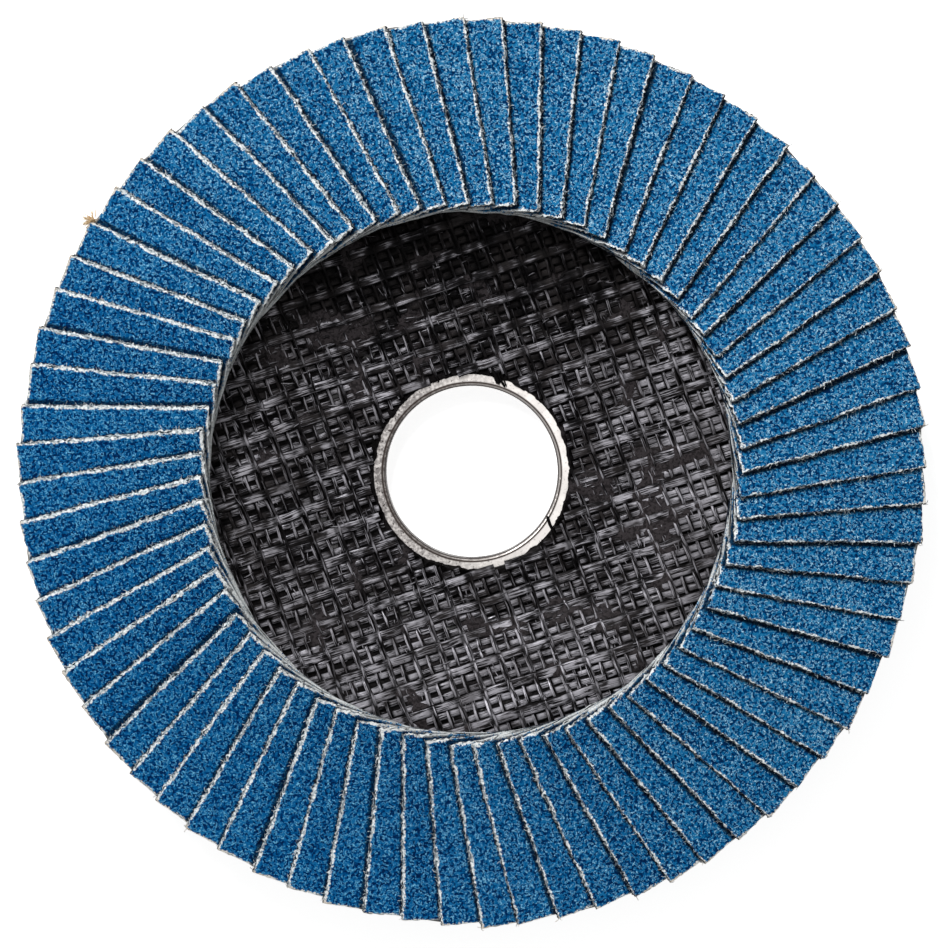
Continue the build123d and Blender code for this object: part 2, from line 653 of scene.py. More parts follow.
        # Painted shade narrows the pale cut edges towards the right of the disc.
        shown = graph.minus(graph.plus(torn, cut), graph.times(shaded_side, self.shaded_side_cover))
        return graph.spread(shown, 0.38, 0.54)

    def painted_shade(self, graph: Graph, tuft: object, shaded_side: object) -> bpy.types.NodeSocket:
        """Finds where shade is painted: crevices, feet of the cut sides, more to the right.

        Args:
            graph: Graph of the material.
            tuft: Fine noise of the fibres.
            shaded_side: How much painted shade this side of the disc gets, more to the right.

        Returns:
            How far painted shade covers the cloth, from 0 to 1.
        """
        level = graph.mask(Mask.LEVEL)
        # Painted shade, broken up by the fibre noise.
        stuck = graph.times_plus(graph.minus(tuft, 0.5), 1.1, graph.mask(Mask.CREVICE_SHADE))
        crevice = graph.times_plus(level, graph.times_plus(shaded_side, 1.3, 0.1), stuck)
        cover = graph.spread(level, 0.0, 0.2, 0.84, 0.985)
        return graph.times(graph.spread(crevice, 0.25, 0.75), cover)


@dataclass(frozen=True)
class GlassYarnFinish(Finish):
    """Black resin over glass yarn, its grey streaks partly the filaments and partly painted
    highlight.
    """

    name: str = "glass_yarn"
    # Darkest filament tone, also the painted shade down the sides and in the dips.
    hollow: Colour = (0.0012, 0.001, 0.0012, 1.0)
    body: Colour = (0.0185, 0.0172, 0.0195, 1.0)
    # Partly the pale glass filaments, partly painted highlight along them.
    streak: Colour = (0.34, 0.33, 0.36, 1.0)
    resin: Colour = (0.03, 0.026, 0.026, 1.0)
    brightness: float = 0.0
    across: float = 6.0
    along: float = 420.0
    blotch_rate: float = 620.0
    side_shade_start: float = 0.72
    side_shade_blend: float = 0.22
    dip_shade_depth: float = 1.0
    sheen: float = 0.6
    shine: float = 0.06
    # Painted light below and to the right of the disc, painted shade above.
    painted_light_gain: float = 0.14
    painted_light_near: float = 12.0 * MM
    painted_light_far: float = 28.0 * MM
    relief: float = 0.1 * MM

    def mixed(self, graph: Graph, effects: Effects) -> dict[str, object]:
        """Mixes filaments and resin, painted shade on the sides and in the dips, painted light by
        place.

        Args:
            graph: Graph of the material.
            effects: Shared node groups.

        Returns:
            What goes into the shader, by input name.
        """
        place = graph.place()
        layout = graph.join(*map(graph.mask, (Mask.ACROSS, Mask.ALONG, Mask.TURN)))
        sizes = {"Vector": layout, "Across": self.across, "Along": self.along}
        yarn = graph.group(effects.filaments, sizes).outputs
        dust = graph.group(effects.dust, {"Vector": place, "Patches": 230.0, "Specks": 3200.0})
        blotch = graph.spread(graph.noise(place, self.blotch_rate, 1.5), 0.3, 0.7, -0.4, 0.36)
        painted_light_and_shade = self.painted_light_and_shade(graph, place)
        # Painted light raises the filament tone below and to the right; painted shade lowers it
        # above.
        clear = graph.times_plus(painted_light_and_shade, 0.35, 1.0)
        tone = graph.times_plus(yarn["Tone"], clear, blotch)
        lit = graph.plus(tone, graph.times_plus(painted_light_and_shade, self.painted_light_gain, self.brightness))
        colour = graph.ramp(lit, ((0.08, self.hollow), (0.45, self.body), (0.9, self.streak)))
        coated = graph.mix(graph.times(dust.outputs["Patch"], 0.6), colour, self.resin)
        side = graph.math("ABSOLUTE", graph.mask(Mask.ACROSS))
        # Painted shade down both sides of the yarn and where it dips under a cross yarn.
        edge = graph.spread(side, self.side_shade_start, self.side_shade_start + self.side_shade_blend)
        dip_shade = graph.spread(graph.mask(Mask.LEVEL), 0.3, 0.85, self.dip_shade_depth, 0.0)
        return {
            "Base Color": graph.mix(graph.larger(edge, dip_shade), coated, self.hollow),
            "Metallic": graph.spread(yarn["Tone"], 0.0, 1.0, 0.1, self.sheen),
            "Roughness": graph.spread(yarn["Tone"], 0.0, 1.0, 0.6, 0.4),
            "Specular IOR Level": self.shine,
            "Normal": graph.bump(yarn["Height"], 0.9, self.relief),
        }

    def painted_light_and_shade(self, graph: Graph, place: object) -> bpy.types.NodeSocket:
        """Finds where light and shade are painted: lighter below and to the right, shade above.

        Args:
            graph: Graph of the material.
            place: The piece's own coordinates.

        Returns:
            Painted light from 0 to 1, and painted shade down to -1.2.
        """
        x, y, _ = graph.split(place)
        below = graph.spread(y, -self.painted_light_far, -self.painted_light_near, 1.0, 0.0)
        right = graph.spread(x, 1.3 * self.painted_light_near, self.painted_light_far, 0.0, 0.9)
        thick = graph.spread(y, self.painted_light_near, self.painted_light_far, 0.0, -1.2)
        return graph.plus(graph.larger(below, right), thick)


@dataclass(frozen=True)
class ResinFinish(Finish):
    """Cured resin with soft lumps, from brown-black to black."""

    name: str = "dark_resin"
    dark: Colour = (0.002, 0.0017, 0.0018, 1.0)
    warm: Colour = (0.043, 0.037, 0.0395, 1.0)
    lump: float = 420.0
    grain: float = 6.0
    shine: float = 0.04
    relief: float = 0.12 * MM

    def mixed(self, graph: Graph, effects: Effects) -> dict[str, object]:
        """Mixes black resin with warmer, grainy resin where it pools.

        Args:
            graph: Graph of the material.
            effects: Shared node groups.

        Returns:
            What goes into the shader, by input name.
        """
        place = graph.place()
        marks = {"Vector": place, "Patches": self.lump, "Specks": 4200.0}
        patch = graph.group(effects.dust, marks).outputs["Patch"]
        sizes = {"Vector": place, "Grain": self.grain * self.lump, "Crest": 0.5}
        grain = graph.group(effects.grain, sizes).outputs
        pool = graph.larger(graph.mask(Mask.POOL), graph.times(patch, 0.15))
        uneven = graph.spread(grain["Tone"], 0.05, 0.8, 0.3, 1.5)
        return {
            "Base Color": graph.mix(graph.times(pool, uneven), self.dark, self.warm),
            "Roughness": graph.spread(patch, 0.0, 1.0, 0.6, 0.34),
            "Specular IOR Level": self.shine,
            "Normal": graph.bump(grain["Height"], 0.6, self.relief),
        }


@dataclass(frozen=True)
class FibreFinish(Finish):
    """Loose cloth fibres stained tan by resin."""

    name: str = "tan_fibre"
    pale: Colour = (0.86, 0.7, 0.46, 1.0)
    tan: Colour = (0.52, 0.31, 0.13, 1.0)

    def mixed(self, graph: Graph, effects: Effects) -> dict[str, object]:
        """Mixes two shades of tan along each fibre.

        Args:
            graph: Graph of the material.
            effects: Shared node groups.

        Returns:
            What goes into the shader, by input name.
        """
        layout = graph.join(*map(graph.mask, (Mask.TURN, Mask.ALONG, Mask.TURN)))
        sizes = {"Vector": layout, "Across": 5.0, "Along": 2400.0}
        tone = graph.group(effects.filaments, sizes).outputs["Tone"]
        return {
            "Base Color": graph.mix(tone, self.tan, self.pale),
            "Roughness": graph.spread(tone, 0.0, 1.0, 0.9, 0.7),
        }


@dataclass(frozen=True)
class LaminateFinish(Finish):
    """Pressed glass laminate: the weave telegraphs through black resin."""

    name: str = "pressed_laminate"
    roving_angle: float = math.radians(17.85)
    pitch: float = 3.66 * MM
    across: float = 18.0
    along: float = 260.0
    relief: float = 0.16 * MM
    dark: Colour = (0.005, 0.0045, 0.005, 1.0)
    body: Colour = (0.022, 0.02, 0.021, 1.0)
    streak: Colour = (0.075, 0.07, 0.072, 1.0)

    def mixed(self, graph: Graph, effects: Effects) -> dict[str, object]:
        """Mixes two families of pressed yarns, each on top in turn.

        Args:
            graph: Graph of the material.
            effects: Shared node groups.

        Returns:
            What goes into the shader, by input name.
        """
        place = graph.place()
        waves = []
        fine = []
        for turn in (self.roving_angle, self.roving_angle + math.pi / 2):
            side = (-math.sin(turn), math.cos(turn), 0.0)
            run = (math.cos(turn), math.sin(turn), 0.0)
            number = graph.math("DIVIDE", graph.dot(place, side), self.pitch)
            waves.append(graph.math("COSINE", graph.times(number, 2 * math.pi)))
            layout = graph.join(number, graph.dot(place, run), turn)
            sizes = {"Vector": layout, "Across": self.across, "Along": self.along}
            fine.append(graph.group(effects.filaments, sizes).outputs["Tone"])
        over = graph.spread(graph.minus(*waves), -0.25, 0.25)
        picked = graph.add("ShaderNodeMix", {0: over, 2: fine[0], 3: fine[1]}).outputs[0]
        weave = graph.larger(*waves)
        marks = {"Vector": place, "Patches": 90.0, "Specks": 2200.0}
        patch = graph.group(effects.dust, marks).outputs["Patch"]
        tone = graph.times(picked, graph.spread(weave, -0.6, 0.9, 0.35, 1.0))
        colour = graph.ramp(tone, ((0.1, self.dark), (0.5, self.body), (1.0, self.streak)))
        height = graph.times_plus(picked, 0.4, weave)
        return {
            "Base Color": graph.mix(graph.times(patch, 0.5), colour, self.dark),
            "Roughness": graph.spread(patch, 0.0, 1.0, 0.5, 0.32),
            "Normal": graph.bump(height, 0.6, self.relief),
        }


@dataclass(frozen=True)
class PlatedSteelFinish(Finish):
    """Zinc-plated sheet steel, painted shade dulls its left; specked where resin and dust have
    stuck.
    """

    name: str = "plated_steel"
    bright: Colour = (0.82, 0.78, 0.75, 1.0)
    # Colour of the painted shade on the plating.
    shaded_plating: Colour = (0.2, 0.185, 0.18, 1.0)
    stain: Colour = (0.035, 0.025, 0.021, 1.0)
    shaded_plating_side: float = 9.0 * MM
    front_z: float = 2.4 * MM
    mottle_rate: float = 3000.0
    mouth_r: float = 11.66 * MM
    mouth_blend: float = 0.08 * MM
    line_r: float = 11.54 * MM
    line_rate: float = 2 * math.pi / (0.4 * MM)
    relief: float = 0.04 * MM

    def mixed(self, graph: Graph, effects: Effects) -> dict[str, object]:
        """Mixes bright plating, painted shade with mottling on the left and rolled lines at the
        mouth.

        Args:
            graph: Graph of the material.
            effects: Shared node groups.

        Returns:
            What goes into the shader, by input name.
        """
        place = graph.place()
        marks = {"Vector": place, "Patches": 330.0, "Specks": 2900.0}
        dust = graph.group(effects.dust, marks).outputs
        sizes = {"Vector": place, "Grain": 2100.0, "Crest": 0.3}
        grain = graph.group(effects.grain, sizes).outputs
        x, y, z = graph.split(place)
        front = graph.spread(z, 0.5 * self.front_z, self.front_z)
        # Painted shade: the left of the front face is darkened and mottled.
        left = graph.spread(x, -self.shaded_plating_side, self.shaded_plating_side, 1.0, 0.0)
        shaded = graph.times(left, front)
        mottle = graph.spread(graph.noise(place, self.mottle_rate, 1.0), 0.35, 0.6, 0.45, 1.0)
        metal = graph.mix(graph.times(shaded, mottle), self.bright, self.shaded_plating)
        far = graph.length(graph.join(x, y, 0.0))
        phase = graph.times(graph.minus(far, self.line_r), self.line_rate)
        lines = graph.spread(graph.math("COSINE", phase), -0.6, 0.9, 0.6, 1.0)
        mouth = graph.spread(far, self.mouth_r, self.mouth_r + self.mouth_blend, 1.0, 0.0)
        worn = graph.mix(graph.times(mouth, lines), metal, self.stain)
        # Specks of resin and dust, more of them where shade is painted.
        speck = graph.times(dust["Speck"], graph.spread(shaded, 0.2, 0.8, 0.25, 1.0))
        return {
            "Base Color": graph.mix(speck, worn, self.stain),
            "Metallic": graph.spread(speck, 0.0, 1.0, 1.0, 0.2),
            "Roughness": graph.spread(dust["Patch"], 0.0, 1.0, 0.34, 0.55),
            "Normal": graph.bump(grain["Height"], 0.35, self.relief),
        }


# ---------------------------------------------------------------- the disc


@dataclass(frozen=True)
class DishSizes:
    """Front face of the dished plate, which everything in the recess lies on."""

    seat_r: float = 20.3 * MM
    shelf_r: float = 31.24 * MM
    seat_z: float = 3.4 * MM
    shelf_z: float = 7.6 * MM
    hole_r: float = 12.735 * MM
    rim_r: float = 52.0 * MM
    bed_in: float = 34.54 * MM

    def height(self, reach: np.ndarray) -> np.ndarray:
        """Height of the plate's front face at a distance from the axis."""
        return np.interp(reach, [self.seat_r, self.shelf_r], [self.seat_z, self.shelf_z])


@dataclass
class FlapSkin:
    """Points, faces and masks of one flap, gathered patch by patch."""

    points: list[np.ndarray] = field(default_factory=list)
    faces: list[np.ndarray] = field(default_factory=list)
    masks: dict[Mask, list] = field(default_factory=dict)
    size: int = 0

    def add(self, grid: np.ndarray, masks: dict, flipped: bool) -> None:
        """Adds a patch of the skin.

        Args:
            grid: Points by row and column.
            masks: Mask values of the patch, or one value for all of it.
            flipped: Turns the patch's faces over.
        """
        rows, columns = grid.shape[:2]
        faces = sheet_faces(rows, columns) + self.size
        self.faces.append(faces[:, ::-1] if flipped else faces)
        self.points.append(grid.reshape(-1, 3))
        for mask in (Mask.GRIT, Mask.CUT, Mask.CLOTH, Mask.CREVICE_SHADE, Mask.LEVEL):
            values = np.broadcast_to(masks.get(mask, 0.0), (rows, columns)).ravel()
            self.masks.setdefault(mask, []).append(values)
        self.masks.setdefault(Mask.ALONG, []).append(grid[..., 0].ravel())
        self.masks.setdefault(Mask.ACROSS, []).append(grid[..., 1].ravel())
        self.size += rows * columns

    def piece(self, name: str) -> bpy.types.Object:
        """Makes the gathered skin an object."""
        masks = {mask: np.concatenate(values) for mask, values in self.masks.items()}
        return new_piece(name, np.vstack(self.points), np.vstack(self.faces), masks)


@dataclass
class FlapFan:
    """Ring of abrasive flaps, each twisted to lie along the one below it."""

    finish: bpy.types.Material
    count: int = 72
    per_piece: int = 2
    width: float = 16.0 * MM
    reach_in: float = 33.14 * MM
    reach_out: float = 56.94 * MM
    thick: float = 0.85 * MM
    rise: float = 0.95 * MM
    low_z: float = 8.545 * MM
    first_angle: float = 4.18
    rows: int = 104
    shown_columns: int = 15
    crowding: float = 1.25
    hidden_columns: int = 4
    wall_rows: int = 4
    overlap: float = 0.7 * MM
    cover_fade: float = 0.4 * MM
    edge_round: float = 0.1 * MM
    grit_start: float = 0.2 * MM
    cloth_part: float = 0.5
    cloth_proud: float = 0.06 * MM
    pale_edge: float = 0.8
    pale_reach: float = 0.5 * MM
    inner_stretch: float = 1.3
    # Band of painted shade on the grain beside the foot of the flap above.
    crevice_shade_start: float = 0.1 * MM
    crevice_shade_reach: float = 0.42 * MM
    foot_shade_start: float = 0.45
    foot_shade_blend: float = 0.35
    rag_rate: float = 3300.0
    slow_rate: float = 240.0
    bow_rate: float = 95.0
    straight_end: float = 0.6 * MM
    fibre_root: float = 0.1 * MM
    fibre_radius: float = 0.046 * MM
    seed: int = 7

    def pitch(self) -> float:
        """Angle from one flap to the next, in degrees."""
        return 360.0 / self.count

    def lift(self, reach: np.ndarray, side: np.ndarray) -> np.ndarray:
        """Height of a flap's underside, so that each turn clears the last one."""
        spread = np.arctan2(self.width / 2, reach) - np.arctan2(side, reach)
        return self.low_z + self.rise * np.degrees(spread) / self.pitch()

    def shown_side(self, reach: np.ndarray) -> np.ndarray:
        """How far across a flap shows before the next flap covers it."""
        step = math.radians(self.pitch())
        return (reach * math.sin(step) - self.width / 2) / math.cos(step) + self.overlap

    def lean(self, reach: np.ndarray) -> np.ndarray:
        """How far a cut side's foot stands out, being cut square to the tilted cloth."""
        return self.thick * self.rise / (reach * math.radians(self.pitch()))

    def grids(self) -> tuple[np.ndarray, np.ndarray]:
        """Lays out the grain face and the cloth face, close where the flap shows.

        Returns:
            Points of both faces, by row and column.
        """
        half = self.width / 2
        reach = np.linspace(self.reach_in, self.reach_out, self.rows)[:, None]
        far = self.shown_side(reach)
        shown = np.linspace(0, 1, self.shown_columns) ** self.crowding
        hidden = np.linspace(0, 1, self.hidden_columns + 1)[1:]
        side = np.hstack([-half + (far + half) * shown, far + (half - far) * hidden])
        along = np.broadcast_to(reach, side.shape)
        near = self.edge_distance(along, side)
        rounding = self.edge_round * np.exp(-near / self.edge_round)
        top_z = self.lift(along, side) + self.thick - rounding
        foot = side.copy()
        foot[:, 0] -= self.lean(reach[:, 0])
        top = np.stack([along, side, top_z], axis=2)
        bottom = np.stack([along, foot, self.lift(along, foot)], axis=2)
        return top, bottom

    def edge_distance(self, along: np.ndarray, side: np.ndarray) -> np.ndarray:
        """Distance of a point from the nearest cut edge that shows."""
        ends = np.minimum(along - self.reach_in, self.reach_out - along)
        return np.minimum(side + self.width / 2, ends)

    def grain_masks(self, top: np.ndarray) -> dict[Mask, np.ndarray]:
        """Masks of the grain face: rough grain, pale cut edges and painted shade in the crevice.

        Args:
            top: Points of the grain face, by row and column.

        Returns:
            Values by mask.
        """
        along, side = top[..., 0], top[..., 1]
        near = self.edge_distance(along, side)
        line = self.shown_side(along) - self.overlap
        cover = np.clip((line + 0.5 * MM - side) / self.cover_fade, 0, 1)
        inside = along - self.reach_in
        bare = np.minimum(near + 0.5 * inside, inside / self.inner_stretch)
        pale = np.minimum(np.where(near < inside, near, bare), inside / self.inner_stretch)
        # Painted shade on the grain next to the foot of the flap that lies over it.
        clear = line - self.lean(along) - self.crevice_shade_start - side
        crevice_shade = np.clip(1 - clear / self.crevice_shade_reach, 0, 1)
        return {
            Mask.GRIT: cover * np.clip(near / self.grit_start, 0, 1),
            Mask.CUT: self.pale_edge * np.clip(1 - pale / self.pale_reach, 0, 1),
            Mask.CREVICE_SHADE: crevice_shade * np.clip(0.5 + inside / (1.2 * MM), 0, 1),
        }

    def blank(self) -> bpy.types.Object:
        """Builds one flap as a closed skin, with its grain, cut, cloth and painted-shade masks.

        Returns:
            The flap on the +X axis.
        """
        top, bottom = self.grids()
        skin = FlapSkin()
        level = np.linspace(0, 1, self.wall_rows + 1)[:, None]
        cloth = np.clip((level - 1 + self.cloth_part) / self.cloth_part, 0, 1)
        for (upper, lower), outward, fray, shade_gain in self.rims(top, bottom):
            proud = np.full(len(upper), self.cloth_proud)
            proud[[0, -1]] = 0.0
            bulge = (np.sin(np.pi * cloth) * proud)[..., None]
            wall = upper + (lower - upper) * level[..., None] + outward * bulge
            # Painted shade: each cut side darkens towards its foot; LEVEL feeds the painted crevice
            # shade.
            masks = {
                Mask.CUT: np.where(level < 0.2, self.pale_edge, fray),
                Mask.CREVICE_SHADE: shade_gain * np.clip((level - self.foot_shade_start) / self.foot_shade_blend, 0, 1),
                Mask.LEVEL: shade_gain * level,
                Mask.CLOTH: np.where(level > 0.99, 1.0, 0.0),
            }
            if shade_gain == 0.0:
                wall = self.thinned(wall.swapaxes(0, 1)).swapaxes(0, 1)
            skin.add(wall, masks, flipped=False)
        skin.add(top, self.grain_masks(top), flipped=True)
        skin.add(self.thinned(bottom), {Mask.CUT: 1.0, Mask.CLOTH: 1.0}, flipped=False)
        return skin.piece("flap_blank")

    @staticmethod
    def thinned(grid: np.ndarray) -> np.ndarray:
        """Draws the points inside a hidden patch to its two long sides, to be merged there.

        Args:
            grid: Points by row and column.

        Returns:
            The patch with its rim as it was and nothing inside.
        """
        plain = grid.copy()
        middle = grid.shape[1] // 2
        plain[1:-1, :middle] = grid[1:-1, :1]
        plain[1:-1, middle:] = grid[1:-1, -1:]
        return plain

    def rims(self, top: np.ndarray, bottom: np.ndarray) -> list[tuple]:
        """Top and bottom edge lines of the four cut sides, and how each side is cut.

        Args:
            top: Points of the grain face, by row and column.
            bottom: Points of the cloth face, by row and column.

        Returns:
            For each side the pair of lines, its outward direction, its fray and the strength of
            its painted shade, which is 0 on the side that never shows.
        """
        # The last number of each pick is the strength of the painted shade on that side.
        picks = [
            (np.s_[:, 0], (0, -1, 0), 1.0, 1.0),
            (np.s_[-1, :], (1, 0, 0), 0.85, 0.6),
            (np.s_[::-1, -1], (0, 1, 0), 0.8, 0.0),
            (np.s_[0, ::-1], (-1, 0, 0), 0.86, 0.6),
        ]
        return [
            ((top[pick], bottom[pick]), np.array(way, float), *cut) for pick, way, *cut in picks
        ]

    def tree(self) -> bpy.types.NodeTree:
        """Builds the tree that fans the blank out, roughens its grain and frays its cuts."""
        inputs = {
            "Count": 2,
            "Pitch": 0.1,
            "Start Angle": 0.0,
            "Start Number": 0,
            "Turn Play": 0.009,
            "Reach Play": 0.42 * MM,
            "Waviness": 0.34 * MM,
            "Grain Size": 0.3 * MM,
            "Grain Height": 0.07 * MM,
            "Fray": 1.9 * MM,
            "Fibre Length": 0.7 * MM,
            "Fibre Density": 4.4e6,
            "Seed": 7,
            "Material": bpy.types.Material,
        }
        tree, graph, start, end = maker_tree("flap_fan", inputs)
        given = start.outputs
        flaps = self.fanned(graph, given)
        rough = self.roughened(graph, self.bowed(graph, flaps, given), given)
        joined = graph.add("GeometryNodeJoinGeometry")
        for part in (self.fibres(graph, rough, given), rough):
            graph.feed(joined.inputs[0], part)
        graph.close(end, joined.outputs[0], given["Material"])
        return tree

    @staticmethod
    def fanned(graph: Graph, given: object) -> bpy.types.NodeSocket:
        """Sews the blank's patches together and sets a copy of it at each flap's place.

        Args:
            graph: Graph of the tree.
            given: Sockets of the tree's inputs.

        Returns:
            The flaps, each with its own random number.
        """
        index = graph.add("GeometryNodeInputIndex").outputs[0]
        number = graph.plus(index, given["Start Number"])
        chances = [
            graph.chance(graph.times_plus(number, 5.0, float(extra)), given["Seed"])
            for extra in range(3)
        ]
        play = graph.times(graph.minus(chances[0], 0.5), given["Turn Play"])
        angle = graph.plus(graph.times_plus(index, given["Pitch"], given["Start Angle"]), play)
        turn = graph.add("FunctionNodeEulerToRotation", {0: graph.join(0.0, 0.0, angle)})
        spots = graph.add("GeometryNodeMeshLine", {"Count": given["Count"], "Offset": (0, 0, 0)})
        doubles = {"Geometry": given["Geometry"], "Distance": 1e-6}
        sewn = graph.add("GeometryNodeMergeByDistance", doubles)
        spots, sewn, turn = (node.outputs[0] for node in (spots, sewn, turn))
        copies = {"Points": spots, "Instance": sewn, "Rotation": turn}
        fan = graph.add("GeometryNodeInstanceOnPoints", copies).outputs[0]
        reach = graph.times(graph.minus(chances[1], 0.5), given["Reach Play"])
        move = {"Instances": fan, "Translation": graph.join(reach, 0.0, 0.0), "Local Space": True}
        moved = graph.add("GeometryNodeTranslateInstances", move).outputs[0]
        marked = graph.store(moved, Mask.TURN, chances[2], domain="INSTANCE")
        return graph.realized(marked)

    def bowed(self, graph: Graph, flaps: object, given: object) -> bpy.types.NodeSocket:
        """Bows each flap a little to its side, so that no two edges run quite alike.

        Args:
            graph: Graph of the tree.
            flaps: The fanned-out flaps.
            given: Sockets of the tree's inputs.

        Returns:
            The bowed flaps.
        """
        x, y, _ = graph.split(graph.add("GeometryNodeInputPosition").outputs[0])
        around = graph.join(graph.times(y, -1.0), x, 0.0)
        sideways = graph.add("ShaderNodeVectorMath", {0: around}, operation="NORMALIZE").outputs[0]
        run = graph.times(graph.stored(Mask.ALONG), self.bow_rate)
        seat = graph.join(run, graph.times(graph.stored(Mask.TURN), 91.0), 0.0)
        drift = graph.minus(graph.noise(seat, 1.0, 2.0), 0.5)
        offset = graph.scaled(sideways, graph.times(drift, given["Waviness"]))
        return graph.moved({"Geometry": flaps, "Offset": offset})

    def roughened(self, graph: Graph, flaps: object, given: object) -> bpy.types.NodeSocket:
        """Lifts the grain by noise and pulls the cut sides in and out.

        Args:
            graph: Graph of the tree.
            flaps: The fanned-out flaps.
            given: Sockets of the tree's inputs.

        Returns:
            The roughened flaps.
        """
        place = graph.add("GeometryNodeInputPosition").outputs[0]
        normal = graph.add("GeometryNodeInputNormal").outputs[0]
        fine = graph.noise(place, graph.math("DIVIDE", 1.0, given["Grain Size"]), 1.0)
        bump = graph.times(graph.minus(fine, 0.5), given["Grain Height"])
        grit = graph.times(bump, graph.stored(Mask.GRIT))
        rag = graph.minus(graph.noise(place, self.rag_rate, 2.0, 0.7), 0.5)
        slow = graph.minus(graph.noise(place, self.slow_rate, 1.0), 0.5)
        fray = graph.times(graph.times_plus(slow, 0.35, rag), given["Fray"])
        near_end = self.reach_out - self.straight_end
        straight = graph.spread(graph.stored(Mask.ALONG), near_end, self.reach_out, 1.0, 0.4)
        cut = graph.times(graph.times(fray, straight), graph.stored(Mask.CUT))
        upright = graph.minus(1.0, graph.stored(Mask.CLOTH))
        offset = graph.scaled(normal, graph.times_plus(cut, upright, grit))
        return graph.moved({"Geometry": flaps, "Offset": offset})

    def fibres(self, graph: Graph, flaps: object, given: object) -> bpy.types.NodeSocket:
        """Scatters short bent fibres over the cut sides.

        Args:
            graph: Graph of the tree.
            flaps: The roughened flaps.
            given: Sockets of the tree's inputs.

        Returns:
            Fibres as instances.
        """
        raw = graph.minus(graph.stored(Mask.CUT), graph.stored(Mask.CLOTH))
        sown = {
            "Mesh": flaps,
            "Selection": graph.math("GREATER_THAN", raw, 0.9),
            "Density": given["Fibre Density"],
            "Seed": given["Seed"],
        }
        spots = graph.add("GeometryNodeDistributePointsOnFaces", sown).outputs
        drawn = {2: 0.25, 3: 1.0, "Seed": 3}
        length = graph.add("FunctionNodeRandomValue", drawn, data_type="FLOAT").outputs[1]
        tilts = {0: (-1.1, -0.5, -3.1), 1: (1.1, 1.2, 3.1), "Seed": 4}
        lean = graph.add("FunctionNodeRandomValue", tilts, data_type="FLOAT_VECTOR").outputs[0]
        turn = graph.add("FunctionNodeEulerToRotation", {0: lean}).outputs[0]
        both = {0: spots["Rotation"], 1: turn}
        bent = graph.add("FunctionNodeRotateRotation", both, rotation_space="LOCAL").outputs[0]
        half = graph.times(given["Fibre Length"], 0.5)
        bow = {
            "Resolution": 2,
            "Start": (0, 0, -self.fibre_root),
            "Middle": graph.join(0.0, 0.0, half),
            "End": graph.join(half, 0.0, graph.times(given["Fibre Length"], 0.8)),
        }
        line = graph.add("GeometryNodeCurveQuadraticBezier", bow).outputs[0]
        section = {"Resolution": 3, "Radius": self.fibre_radius}
        ring = graph.add("GeometryNodeCurvePrimitiveCircle", section).outputs[0]
        tube = graph.add("GeometryNodeCurveToMesh", {0: line, 1: ring, "Fill Caps": True})
        copies = {
            "Points": spots["Points"],
            "Instance": tube.outputs[0],
            "Rotation": bent,
            "Scale": length,
        }
        grown = graph.add("GeometryNodeInstanceOnPoints", copies).outputs[0]
        return graph.store(grown, Mask.CUT, 1.0, domain="INSTANCE")

    def build(self) -> list[bpy.types.Object]:
        """Builds every flap piece.

        Returns:
            The pieces in order round the ring.
        """
        tree = self.tree()
        blank = self.blank()
        pieces = []
        for index in range(self.count // self.per_piece):
            first = index * self.per_piece
            piece = bpy.data.objects.new(f"cloth_flaps_{index + 1:02d}", blank.data)
            bpy.context.scene.collection.objects.link(piece)
            values = {
                "Count": self.per_piece,
                "Pitch": math.radians(self.pitch()),
                "Start Angle": math.radians(self.first_angle + first * self.pitch()),
                "Start Number": first,
                "Seed": self.seed + index,
                "Material": self.finish,
            }
            run_tree(piece, tree, values)
            settle(piece, [f"flaps_{index + 1:02d}"])
            pieces.append(piece)
        bpy.data.objects.remove(blank)
        return pieces


@dataclass(frozen=True)
class YarnSet:
    """One family of parallel yarns in the woven front."""

    name: str
    angle: float
    pitch: float
    cross_angle: float
    cross_pitch: float
    width: float
    thick: float
    lift: float
    wave: float
    points: int
    corners: int
    seed: int
    shift: float = 0.0
    cross_shift: float = 0.0
    sharp: float = 1.0
    wobble: float = 0.1 * MM

    def values(self, reach: float, hole: float, finish: bpy.types.Material) -> dict[str, object]:
        """The family's sizes, as inputs of the tree that drapes it.

        Args:
            reach: Radius that the yarns run out to.
            hole: Radius that they start at.
            finish: Material of the yarns.

        Returns:
            Values by input name.
        """
        return {
            "Yarns": 2 * math.ceil(reach / self.pitch),
            "Points": self.points,
            "Corners": self.corners,
            "Reach": reach,
            "Hole": hole,
            "Angle": math.radians(self.angle),
            "Pitch": self.pitch,
            "Shift": self.shift,
            "Cross Angle": math.radians(self.cross_angle),
            "Cross Pitch": self.cross_pitch,
            "Cross Shift": self.cross_shift,
            "Lift": self.lift,
            "Wave": self.wave,
            "Sharpness": self.sharp,
            "Width": self.width,
            "Thickness": self.thick,
            "Wobble": self.wobble,
            "Seed": self.seed,
            "Material": finish,
        }


